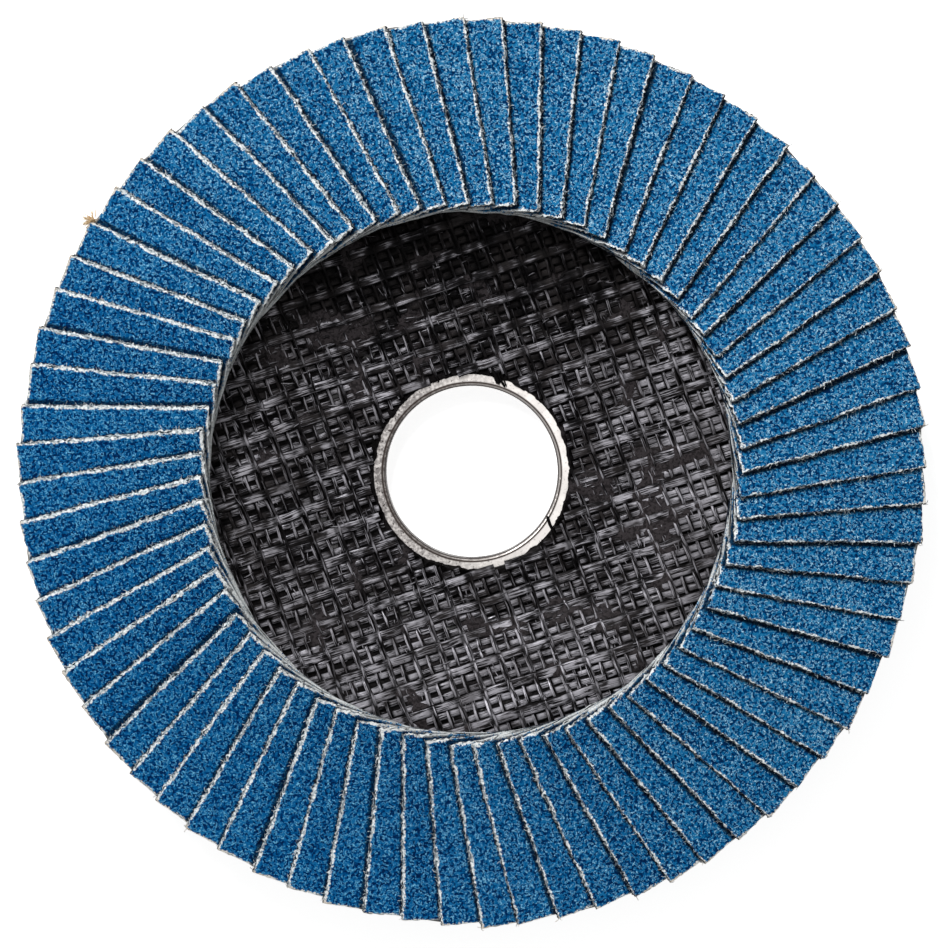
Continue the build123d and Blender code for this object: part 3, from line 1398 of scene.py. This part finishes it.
@dataclass
class WovenFront:
    """Two plies of open glass weave, pressed on the recess in a film of resin."""

    roving_finish: bpy.types.Material
    square_finish: bpy.types.Material
    thread_finish: bpy.types.Material
    film_finish: bpy.types.Material
    dish: DishSizes = field(default_factory=DishSizes)
    reach: float = 34.3 * MM
    roving_angle: float = 17.85
    thread_angle: float = 110.8
    roving_pitch: float = 3.66 * MM
    thread_pitch: float = 3.42 * MM
    cut_play: float = 0.35 * MM
    drift_rate: float = 260.0
    swell_rate: float = 520.0
    swell_height: float = 0.42 * MM
    squareness: float = 0.55
    film_low: float = 0.02 * MM
    film_high: float = 0.48 * MM
    film_grain: float = 0.05 * MM
    pool_rate: float = 230.0
    collar_r: float = 12.615 * MM
    collar_z: float = 3.5 * MM
    flash: float = 0.5 * MM
    flash_fade: float = 1.2 * MM
    film_rings: int = 56
    film_spokes: int = 300
    drowned_gain: float = 2.4
    drowned_spots: tuple[tuple[float, float, float, float], ...] = (
        (20.6 * MM, -10.6 * MM, 5.8 * MM, 7.0 * MM),
        (8.8 * MM, -21.7 * MM, 7.0 * MM, 1.7 * MM),
        (-9.9 * MM, 21.6 * MM, 8.0 * MM, 1.6 * MM),
    )

    def lengthways(self, name: str, turn: float = 0.0, **sizes: float) -> YarnSet:
        """A family that runs with the rovings, turned a little from them."""
        angle = self.roving_angle + turn
        return YarnSet(name, angle, self.roving_pitch, self.thread_angle, **sizes)

    def crossways(self, name: str, turn: float, **sizes: float) -> YarnSet:
        """A family that runs across the rovings, and waves over them."""
        return YarnSet(
            name, self.thread_angle + turn, self.thread_pitch, self.roving_angle,
            self.roving_pitch, **sizes,
        )

    def bars(self) -> YarnSet:
        """Broad rovings that run in long bars between the ties."""
        return self.lengthways(
            "bars", cross_pitch=self.thread_pitch, width=1.32 * MM, thick=0.26 * MM,
            lift=0.33 * MM, wave=-0.1 * MM, points=240, corners=10, seed=3, sharp=3.0,
        )

    def ties(self) -> list[YarnSet]:
        """Pairs of narrow threads that stand across the bars, and single ones between."""
        shapes = ((0.36 * MM, 0.08 * MM), (0.26 * MM, -0.12 * MM))
        pair = [
            self.crossways(
                f"tie_{index}", index * 0.3, width=0.38 * MM, thick=0.24 * MM, lift=lift,
                wave=wave, points=190, corners=6, seed=5 + index,
                shift=(0.52 * index - 0.24) * MM, sharp=1.4, wobble=0.16 * MM,
            )
            for index, (lift, wave) in enumerate(shapes)
        ]
        single = self.crossways(
            "mid_tie", -0.4, width=0.38 * MM, thick=0.2 * MM, lift=0.2 * MM, wave=-0.14 * MM,
            points=170, corners=6, seed=9, shift=self.thread_pitch / 2, sharp=1.8,
            wobble=0.14 * MM,
        )
        return [*pair, single]

    def squares(self) -> list[YarnSet]:
        """Two narrow rovings in each opening, which show as short squares between the ties."""
        return [
            self.lengthways(
                f"squares_{side}", 0.3 * side, cross_pitch=self.thread_pitch / 2,
                width=0.98 * MM, thick=0.26 * MM, lift=0.12 * MM, wave=-0.17 * MM, points=320,
                corners=8, seed=11 + side, shift=side * self.roving_pitch / 3,
                cross_shift=self.thread_pitch / 4, sharp=2.0,
            )
            for side in (-1, 1)
        ]

    def tree(self) -> bpy.types.NodeTree:
        """Builds the tree that lays one family of yarns over the dished face."""
        sample = self.bars().values(self.reach, self.dish.hole_r, self.roving_finish)
        tree, graph, start, end = maker_tree("draped_yarns", sample)
        given = start.outputs
        span = graph.times(given["Reach"], 2.0)
        gap = graph.math("DIVIDE", span, graph.minus(given["Points"], 1.0))
        across = {
            "Count": given["Points"],
            "Start Location": graph.join(graph.times(given["Reach"], -1.0), 0.0, 0.0),
            "Offset": graph.join(gap, 0.0, 0.0),
        }
        line = graph.add("GeometryNodeMeshLine", across).outputs[0]
        half = graph.times(graph.minus(given["Yarns"], 1.0), -0.5)
        first = graph.times_plus(half, given["Pitch"], given["Shift"])
        beside = {
            "Count": given["Yarns"],
            "Start Location": graph.join(0.0, first, 0.0),
            "Offset": graph.join(0.0, given["Pitch"], 0.0),
        }
        spots = graph.add("GeometryNodeMeshLine", beside).outputs[0]
        laid = graph.add("GeometryNodeInstanceOnPoints", {"Points": spots, "Instance": line})
        lines = graph.realized(laid.outputs[0])
        index = graph.add("GeometryNodeInputIndex").outputs[0]
        number = graph.math("FLOOR", graph.math("DIVIDE", index, given["Points"]))
        marked = graph.store(lines, Mask.TURN, graph.chance(number, given["Seed"]))
        spot, height = self.draped_place(graph, given, number)
        levelled = graph.store(marked, Mask.LEVEL, height)
        draped = graph.moved({"Geometry": levelled, "Position": spot})
        kept = self.cut(graph, given, draped)
        curves = graph.add("GeometryNodeMeshToCurve", {0: kept}).outputs[0]
        run = graph.add("GeometryNodeSplineParameter").outputs["Length"]
        level = graph.add("GeometryNodeSetCurveNormal", {0: graph.store(curves, Mask.ALONG, run)})
        self.choose_level(level)
        section = self.profile(graph, given)
        swept = {"Curve": level.outputs[0], "Profile Curve": section, "Fill Caps": True}
        yarns = graph.add("GeometryNodeCurveToMesh", swept).outputs[0]
        graph.close(end, yarns, given["Material"])
        return tree

    def cut(self, graph: Graph, given: object, draped: object) -> bpy.types.NodeSocket:
        """Cuts the yarns off raggedly at the hole, and in a circle under the flaps.

        Args:
            graph: Graph of the tree.
            given: Sockets of the tree's inputs.
            draped: Lines of all the yarns.

        Returns:
            The lines that are left.
        """
        x, y, _ = graph.split(graph.add("GeometryNodeInputPosition").outputs[0])
        far = graph.length(graph.join(x, y, 0.0))
        ragged = graph.times_plus(graph.stored(Mask.TURN), self.cut_play, given["Hole"])
        inside = graph.math("LESS_THAN", far, ragged)
        outside = graph.larger(inside, graph.math("GREATER_THAN", far, given["Reach"]))
        kept = graph.add("GeometryNodeDeleteGeometry", {0: draped, 1: outside}, domain="POINT")
        return kept.outputs[0]

    @staticmethod
    def choose_level(node: bpy.types.Node) -> None:
        """Keeps a yarn's flat side level, whichever way its normal mode is stored."""
        if hasattr(node, "mode"):
            node.mode = "Z_UP"
        else:
            node.inputs["Mode"].default_value = "Z Up"

    def draped_place(self, graph: Graph, given: object, number: object) -> tuple:
        """Place of each yarn point on the dished face, with its wave over the cross yarns.

        Args:
            graph: Graph of the tree.
            given: Sockets of the tree's inputs.
            number: Number of the yarn that a point is on.

        Returns:
            The new place, and how high the yarn stands there from 0 to 1.
        """
        x, y, _ = graph.split(graph.add("GeometryNodeInputPosition").outputs[0])
        seat = graph.join(graph.times(x, self.drift_rate), graph.times(number, 7.3), given["Seed"])
        drift = graph.minus(graph.noise(seat, 1.0, 1.0), 0.5)
        aside = graph.times_plus(drift, graph.times(given["Wobble"], 4.0), y)
        flat = {"Vector": graph.join(x, aside, 0.0), "Angle": given["Angle"]}
        turned = graph.add("ShaderNodeVectorRotate", flat, rotation_type="Z_AXIS").outputs[0]
        sine = graph.times(graph.math("SINE", given["Cross Angle"]), -1.0)
        cross = graph.join(sine, graph.math("COSINE", given["Cross Angle"]), 0.0)
        aligned = graph.minus(graph.dot(turned, cross), given["Cross Shift"])
        steps = graph.math("DIVIDE", aligned, given["Cross Pitch"])
        swing = graph.times(graph.minus(steps, 0.5), 2 * math.pi)
        drop = graph.minus(1.0, given["Sharpness"])
        crimp = graph.times_plus(graph.math("COSINE", swing), given["Sharpness"], drop)
        held = graph.math("MINIMUM", graph.larger(crimp, -1.0), 1.0)
        upward = graph.times(held, graph.math("SIGN", given["Wave"]))
        level = graph.times_plus(upward, 0.5, 0.5)
        dish = self.dish
        ends = (dish.seat_r, dish.shelf_r, dish.seat_z, dish.shelf_z)
        base = graph.spread(graph.length(turned), *ends)
        uneven = graph.minus(graph.noise(turned, self.swell_rate, 1.0), 0.5)
        lift = graph.times_plus(uneven, self.swell_height, given["Lift"])
        height = graph.plus(graph.plus(base, lift), graph.times(held, given["Wave"]))
        across, down, _ = graph.split(turned)
        return graph.join(across, down, height), level

    def profile(self, graph: Graph, given: object) -> bpy.types.NodeSocket:
        """Flat yarn section with soft corners, which notes its place across the yarn.

        Args:
            graph: Graph of the tree.
            given: Sockets of the tree's inputs.

        Returns:
            The section's curve.
        """
        round_one = {"Resolution": given["Corners"], "Radius": 1.0}
        ring = graph.add("GeometryNodeCurvePrimitiveCircle", round_one).outputs[0]
        x, y, _ = graph.split(graph.add("GeometryNodeInputPosition").outputs[0])
        square = [
            graph.times(
                graph.math("SIGN", part),
                graph.math("POWER", graph.math("ABSOLUTE", part), self.squareness),
            )
            for part in (x, y)
        ]
        noted = graph.store(ring, Mask.ACROSS, square[0])
        wide = graph.times(square[0], graph.times(given["Width"], 0.5))
        high = graph.times(square[1], graph.times(given["Thickness"], 0.5))
        return graph.moved({"Geometry": noted, "Position": graph.join(wide, high, 0.0)})

    def lay(
        self, tree: bpy.types.NodeTree, yarns: YarnSet, finish: bpy.types.Material
    ) -> bpy.types.Object:
        """Lays one family of yarns.

        Args:
            tree: The tree that drapes yarns.
            yarns: Sizes of the family.
            finish: Material of the yarns.

        Returns:
            The family as one object.
        """
        piece = new_piece(yarns.name)
        run_tree(piece, tree, yarns.values(self.reach, self.dish.hole_r, finish))
        return piece

    def film_reach(self, turn: np.ndarray) -> np.ndarray:
        """Distance of each film point from the axis, ragged where it meets the steel ring.

        Args:
            turn: Angle of each spoke.

        Returns:
            Distances by ring and spoke.
        """
        dish = self.dish
        near = np.linspace(dish.hole_r, self.reach, self.film_rings)
        reach = np.concatenate([near, [dish.bed_in + 0.5 * MM, dish.rim_r]])[:, None]
        spots = [Vector((math.cos(angle), math.sin(angle), 0.0)) for angle in turn]
        coarse = [noise.noise(spot * 2.3) + 0.5 * noise.noise(spot * 9.0) for spot in spots]
        fine = [noise.noise(spot * 34.0) for spot in spots]
        ragged = 0.35 + 0.9 * np.array(coarse) + 0.35 * np.array(fine)
        fade = np.clip(1 - (reach - dish.hole_r) / self.flash_fade, 0, 1)
        return reach - self.flash * np.clip(ragged, 0.0, 1.3) * fade

    def pooled(self, x: np.ndarray, y: np.ndarray) -> np.ndarray:
        """How far resin would pool before noise: along the bars and in the drowned spots.

        Args:
            x: Places to the right.
            y: Places to the top.

        Returns:
            What to add to the noise at each place.
        """
        angle = math.radians(self.roving_angle)
        along = x * math.cos(angle) + y * math.sin(angle)
        beside = y * math.cos(angle) - x * math.sin(angle)
        drowned = np.zeros_like(x)
        for middle_along, middle_beside, length, width in self.drowned_spots:
            away = ((along - middle_along) / length) ** 2 + ((beside - middle_beside) / width) ** 2
            drowned = np.maximum(drowned, self.drowned_gain * np.exp(-away))
        return drowned - 0.4 * np.cos(2 * math.pi * beside / self.roving_pitch)

    def film_shape(self) -> tuple[np.ndarray, np.ndarray, np.ndarray]:
        """Rings of film points, from a ragged edge on the steel ring out to the rim.

        Returns:
            Points by ring and spoke, how deep the resin pools there, and the plate under it.
        """
        turn = np.linspace(0, 2 * math.pi, self.film_spokes, endpoint=False)
        reach = self.film_reach(turn)
        x, y = reach * np.cos(turn), reach * np.sin(turn)
        base = self.dish.height(reach)
        top = base + self.film_low
        pool = np.zeros_like(x)
        pooled = self.pooled(x, y)
        for place in np.ndindex(self.film_rings, self.film_spokes):
            spot = Vector((x[place], y[place], 0.0))
            swell = noise.noise(spot * self.pool_rate) * 3.2 - 0.6 + pooled[place]
            pool[place] = min(max(swell, 0.0), 1.0)
            top[place] += noise.noise(spot * 1500.0) * self.film_grain
        top += pool * (self.film_high - self.film_low)
        collar = np.clip((self.collar_r + 0.25 * MM - reach) / (0.3 * MM), 0, 1)
        lapped = np.where(collar > 0, self.collar_z + 0.09 * MM * collar, 0.0)
        top = np.maximum(top, lapped)
        top[-2:] = self.dish.shelf_z + 0.245 * MM
        base = np.where(reach < self.collar_r, self.collar_z - 0.01 * MM, base)
        return np.stack([x, y, top], 2), pool, np.stack([x, y, base], 2)

    def film(self) -> bpy.types.Object:
        """Builds the resin film, high where resin drowns the weave and low in the crevices.

        Returns:
            The film as a closed sheet down to the plate.
        """
        top, pool, base = self.film_shape()
        far = np.linalg.norm(base[:, 0, :2], axis=1)
        bends = [int(np.abs(far - bend).argmin()) for bend in (self.dish.seat_r, self.dish.shelf_r)]
        rings = [0, *bends, len(far) - 1][::-1]
        skin = np.concatenate([top, base[rings]])
        corner = np.arange(skin.shape[0] * skin.shape[1]).reshape(skin.shape[:2])
        after = np.roll(corner, -1, axis=1)
        below, below_after = np.roll(corner, -1, axis=0), np.roll(after, -1, axis=0)
        faces = np.stack([corner, below, below_after, after], axis=2).reshape(-1, 4)
        masks = {Mask.POOL: np.concatenate([pool, pool[rings]]).ravel()}
        piece = new_piece("resin_film", skin.reshape(-1, 3), faces, masks)
        piece.data.materials.append(self.film_finish)
        return piece

    def build(self) -> list[bpy.types.Object]:
        """Builds both plies and the film.

        Returns:
            The three pieces of the woven front.
        """
        tree = self.tree()
        front = [self.lay(tree, self.bars(), self.roving_finish)]
        front += [self.lay(tree, yarns, self.thread_finish) for yarns in self.ties()]
        under = [self.lay(tree, yarns, self.square_finish) for yarns in self.squares()]
        plies = [join_pieces("weave_front_ply", front), join_pieces("weave_under_ply", under)]
        pieces = [*plies, self.film()]
        for piece in pieces:
            piece.data.shade_smooth()
            settle(piece, ["front_glass_mesh"])
        return pieces


@dataclass
class StrandBundle:
    """Thin four-sided strands, each laid through a few points."""

    corners: int = 4
    tip: float = 0.3
    points: list[np.ndarray] = field(default_factory=list)
    faces: list[np.ndarray] = field(default_factory=list)
    runs: list[np.ndarray] = field(default_factory=list)
    turns: list[np.ndarray] = field(default_factory=list)
    size: int = 0

    def add(self, line: np.ndarray, radius: float, turn: float) -> None:
        """Adds one strand that tapers at both ends.

        Args:
            line: Points along the strand.
            radius: Radius of its middle.
            turn: Number from 0 to 1 that picks its shade.
        """
        count = len(line)
        way = np.gradient(line, axis=0)
        way /= np.linalg.norm(way, axis=1)[:, None]
        side = np.cross(way, (0.0, 0.0, 1.0))
        side /= np.linalg.norm(side, axis=1)[:, None]
        rise = np.cross(side, way)
        angle = np.linspace(0, 2 * math.pi, self.corners, endpoint=False)
        taper = np.full(count, radius)
        taper[[0, -1]] *= self.tip
        ring = side[:, None] * np.cos(angle)[:, None] + rise[:, None] * np.sin(angle)[:, None]
        points = line[:, None] + ring * taper[:, None, None]
        corner = np.arange(count * self.corners).reshape(count, self.corners) + self.size
        after = np.roll(corner, -1, axis=1)
        walls = np.stack([corner[:-1], corner[1:], after[1:], after[:-1]], axis=2).reshape(-1, 4)
        caps = np.array([corner[0], corner[-1, ::-1]])
        self.faces.append(np.vstack([walls, caps]))
        self.points.append(points.reshape(-1, 3))
        run = np.concatenate([[0.0], np.cumsum(np.linalg.norm(np.diff(line, axis=0), axis=1))])
        self.runs.append(np.repeat(run, self.corners))
        self.turns.append(np.full(count * self.corners, turn))
        self.size += count * self.corners

    def piece(self, name: str, finish: bpy.types.Material) -> bpy.types.Object:
        """Makes the gathered strands an object."""
        masks = {
            Mask.TURN: np.concatenate(self.turns),
            Mask.ALONG: np.concatenate(self.runs),
            Mask.ACROSS: np.zeros(self.size),
            Mask.LEVEL: np.ones(self.size),
        }
        piece = new_piece(name, np.vstack(self.points), np.vstack(self.faces), masks)
        piece.data.materials.append(finish)
        return piece


@dataclass
class LooseStrands:
    """Broken filaments on the weave, and the ends that hang over the steel ring."""

    filament_finish: bpy.types.Material
    end_finish: bpy.types.Material
    tuft_finish: bpy.types.Material
    dish: DishSizes = field(default_factory=DishSizes)
    count: int = 1100
    reach: float = 33.6 * MM
    angles: tuple[float, float] = (17.85, 110.8)
    stray: float = 9.0
    lengths: tuple[float, float] = (0.4 * MM, 1.7 * MM)
    radius: float = 0.055 * MM
    lift: tuple[float, float] = (0.3 * MM, 0.56 * MM)
    arch: float = 0.12 * MM
    bend: float = 0.25
    seed: int = 23
    end_z: float = 3.62 * MM
    tuft_node: str = "flaps_16"
    tuft_place: tuple[float, float, float] = (-47.55 * MM, 31.95 * MM, 12.1 * MM)
    tuft_angle: float = 178.0
    tuft_spread: float = 38.0
    tuft_root: float = 0.12 * MM
    tuft_length: float = 1.8 * MM
    tuft_radius: float = 0.06 * MM
    tuft_count: int = 64
    ends: tuple = (
        (0.2, (12.9, -10.6), (12.1, -9.6), (11.2, -8.9), (10.05, -6.7), (9.72, -5.62)),
        (0.13, (12.4, -9.3), (11.7, -8.3), (11.0, -7.7), (10.5, -6.9)),
        (0.34, (2.2, 14.2), (2.8, 13.0), (3.15, 12.2), (3.55, 11.3)),
        (0.16, (3.5, 13.6), (3.4, 12.6), (3.7, 11.9), (4.3, 10.9)),
        (0.1, (4.4, 13.2), (3.9, 12.3), (4.2, 11.7), (4.5, 11.0)),
        (0.18, (-5.0, 13.1), (-4.6, 12.3), (-4.2, 11.6)),
        (0.14, (-13.0, -4.1), (-12.2, -4.9), (-11.6, -5.3)),
        (0.16, (-4.4, -13.0), (-4.1, -12.3), (-3.9, -11.9)),
        (0.1, (11.9, -4.0), (12.3, -4.6), (12.5, -5.4), (12.1, -6.2)),
    )

    def filaments(self) -> bpy.types.Object:
        """Scatters short bent filaments, each nearly along the yarns under it."""
        chance = np.random.default_rng(self.seed)
        bundle = StrandBundle()
        for _ in range(self.count):
            far = math.sqrt(chance.uniform((self.dish.hole_r + 1.2 * MM) ** 2, self.reach**2))
            spot = chance.uniform(0, 2 * math.pi)
            course = self.angles[int(chance.integers(2))]
            angle = math.radians(course + chance.normal(0, self.stray))
            length = chance.uniform(*self.lengths)
            step = np.linspace(-0.5, 0.5, 5)
            bend = chance.normal(0, self.bend) * length * (step**2 - 0.08)
            x = far * math.cos(spot) + step * length * math.cos(angle) - bend * math.sin(angle)
            y = far * math.sin(spot) + step * length * math.sin(angle) + bend * math.cos(angle)
            away = np.hypot(x, y)
            if away.max() > self.reach or away.min() < self.dish.hole_r + 0.1 * MM:
                continue
            arch = self.arch * (1 - (2 * step) ** 2)
            z = self.dish.height(away) + chance.uniform(*self.lift) + arch
            radius = self.radius * chance.uniform(0.7, 1.3)
            bundle.add(np.stack([x, y, z], axis=1), radius, chance.uniform())
        return bundle.piece("loose_filaments", self.filament_finish)

    def hanging_ends(self) -> bpy.types.Object:
        """Lays the dark yarn ends that reach over the steel ring."""
        bundle = StrandBundle()
        for number, (radius, *spots) in enumerate(self.ends):
            line = np.array([(x * MM, y * MM, self.end_z) for x, y in spots])
            line[0, 2] -= 0.1 * MM
            fine = np.linspace(0, len(line) - 1, 4 * len(line) - 3)
            knots = np.arange(len(line))
            smooth = np.stack([np.interp(fine, knots, column) for column in line.T], axis=1)
            bundle.add(smooth, radius * MM, number / len(self.ends))
        piece = bundle.piece("yarn_ends", self.end_finish)
        piece.data.shade_smooth()
        return piece

    def corner_tuft(self) -> bpy.types.Object:
        """Fans short tan fibres out from the corner of one flap."""
        chance = np.random.default_rng(self.seed + 1)
        bundle = StrandBundle()
        root = np.array(self.tuft_place)
        for _ in range(self.tuft_count):
            turn = math.radians(self.tuft_angle + chance.normal(0, self.tuft_spread))
            way = np.array([math.cos(turn), math.sin(turn), chance.normal(0, 0.3)])
            step = np.linspace(0, chance.uniform(0.4, 1.0) * self.tuft_length, 4)
            sag = np.stack([np.zeros(4), np.zeros(4), -0.4 * step**2 / self.tuft_length], axis=1)
            start = root + chance.normal(0, self.tuft_root, 3)
            bundle.add(start + way * step[:, None] + sag, self.tuft_radius, chance.uniform())
        return bundle.piece("corner_tuft", self.tuft_finish)

    def build(self) -> list[bpy.types.Object]:
        """Builds the pieces: two with the woven front, and the tuft with its flap."""
        pieces = [self.filaments(), self.hanging_ends()]
        for piece in pieces:
            settle(piece, ["front_glass_mesh"])
        tuft = self.corner_tuft()
        settle(tuft, [self.tuft_node])
        return [*pieces, tuft]


@dataclass
class SolidParts:
    """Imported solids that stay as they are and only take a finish."""

    finishes: dict[str, bpy.types.Material]

    def dress(self) -> None:
        """Gives each solid its finish."""
        for name, material in self.finishes.items():
            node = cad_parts[name]
            for slot in node.material_slots:
                slot.material = material
            LOG.info("%s: dressed with %s", name, material.name)


# ---------------------------------------------------------------- studio


@dataclass
class Studio:
    """Pale floor, soft lamps and the camera above the disc."""

    floor_size: float = 3.0
    floor_drop: float = 0.3 * MM
    aim: tuple[float, float, float] = (0.2 * MM, 0.0, 12.4 * MM)
    camera_place: tuple[float, float, float] = (5.0 * MM, 12.0 * MM, 432.4 * MM)
    lens: float = 126.4
    key_angle: float = 115.0
    key_rise: float = 46.0
    key_distance: float = 0.7
    key_size: float = 0.22
    key_power: float = 4.3
    ambient: float = 0.3

    def floor(self) -> bpy.types.Object:
        """Lays the floor, which reads as white but keeps the disc's shadow."""
        half = self.floor_size / 2
        corners = np.array([(-half, -half), (half, -half), (half, half), (-half, half)])
        points = np.hstack([corners, np.full((4, 1), -self.floor_drop)])
        floor = new_piece("floor", points, np.array([[0, 1, 2, 3]]))
        material, graph, shader = new_material("floor_paper")
        paper = {
            "Base Color": (0.86, 0.86, 0.86, 1.0),
            "Roughness": 0.9,
            "Specular IOR Level": 0.0,
            "Emission Color": (1.0, 1.0, 1.0, 1.0),
            "Emission Strength": self.seen(graph, 0.8),
        }
        graph.fill(shader, paper)
        floor.data.materials.append(material)
        return floor

    @staticmethod
    def seen(graph: Graph, level: float) -> bpy.types.NodeSocket:
        """Returns a level for camera, glossy and transmission rays, and 0 for the rest."""
        path = graph.add("ShaderNodeLightPath").outputs
        straight = graph.larger(path["Is Camera Ray"], path["Is Glossy Ray"])
        return graph.times(graph.larger(straight, path["Is Transmission Ray"]), level)

    def world(self) -> None:
        """Fills the room with soft light, and shows white behind the disc."""
        world = bpy.data.worlds.new("studio_room")
        bpy.context.scene.world = world
        world.use_nodes = True
        graph = Graph(world.node_tree)
        backdrop = world.node_tree.nodes["Background"]
        backdrop.inputs["Color"].default_value = (1.0, 1.0, 1.0, 1.0)
        level = graph.larger(self.seen(graph, 1.0), self.ambient)
        graph.feed(backdrop.inputs["Strength"], level)

    def lamp(self) -> None:
        """Hangs the key lamp beyond the top edge of the disc."""
        light = bpy.data.lights.new("key_lamp", "AREA")
        light.size = self.key_size
        light.energy = self.key_power
        lamp = bpy.data.objects.new("key_lamp", light)
        turn, rise = math.radians(self.key_angle), math.radians(self.key_rise)
        flat = math.cos(rise)
        way = Vector((math.cos(turn) * flat, math.sin(turn) * flat, math.sin(rise)))
        lamp.location = way * self.key_distance
        lamp.rotation_euler = way.to_track_quat("Z", "Y").to_euler()
        bpy.context.scene.collection.objects.link(lamp)

    def camera(self) -> None:
        """Sets the camera above the disc, a little towards its top edge."""
        lens = bpy.data.cameras.new("camera")
        lens.lens = self.lens
        lens.clip_start, lens.clip_end = 0.01, 10.0
        camera = bpy.data.objects.new("camera", lens)
        camera.location = self.camera_place
        back = (camera.location - Vector(self.aim)).normalized()
        right = Vector((0.0, 1.0, 0.0)).cross(back).normalized()
        turn = Matrix((right, back.cross(right), back)).transposed()
        camera.rotation_euler = turn.to_euler()
        bpy.context.scene.collection.objects.link(camera)
        bpy.context.scene.camera = camera

    def build(self) -> None:
        """Sets up the whole studio."""
        bpy.context.scene.view_settings.view_transform = "Standard"
        self.world()
        self.floor()
        self.lamp()
        self.camera()


def main() -> None:
    """Builds the disc and its studio in order."""
    logging.basicConfig(level=logging.INFO, format="%(name)s %(message)s")
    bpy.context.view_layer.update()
    effects = Effects()
    Studio().build()
    FlapFan(AbrasiveClothFinish().build(effects)).build()
    roving = GlassYarnFinish("glass_roving", brightness=0.03, painted_light_gain=0.04, dip_shade_depth=0.7)
    square = GlassYarnFinish("glass_square", brightness=-0.04, painted_light_gain=0.38, side_shade_start=0.66)
    thread = GlassYarnFinish("glass_thread", across=1.6, brightness=0.03, side_shade_start=0.8, dip_shade_depth=0.8)
    weave = [finish.build(effects) for finish in (roving, square, thread)]
    film = ResinFinish("film_resin").build(effects)
    WovenFront(*weave, film).build()
    filament = GlassYarnFinish("glass_filament", brightness=0.3, side_shade_start=1.0)
    LooseStrands(filament.build(effects), film, FibreFinish().build(effects)).build()
    finishes = {
        "backing_plate": LaminateFinish().build(effects),
        "arbor_ring": PlatedSteelFinish().build(effects),
        "adhesive_bed": ResinFinish("bed_resin", lump=700.0).build(effects),
    }
    SolidParts(finishes).dress()


if __name__ == "__main__":
    main()
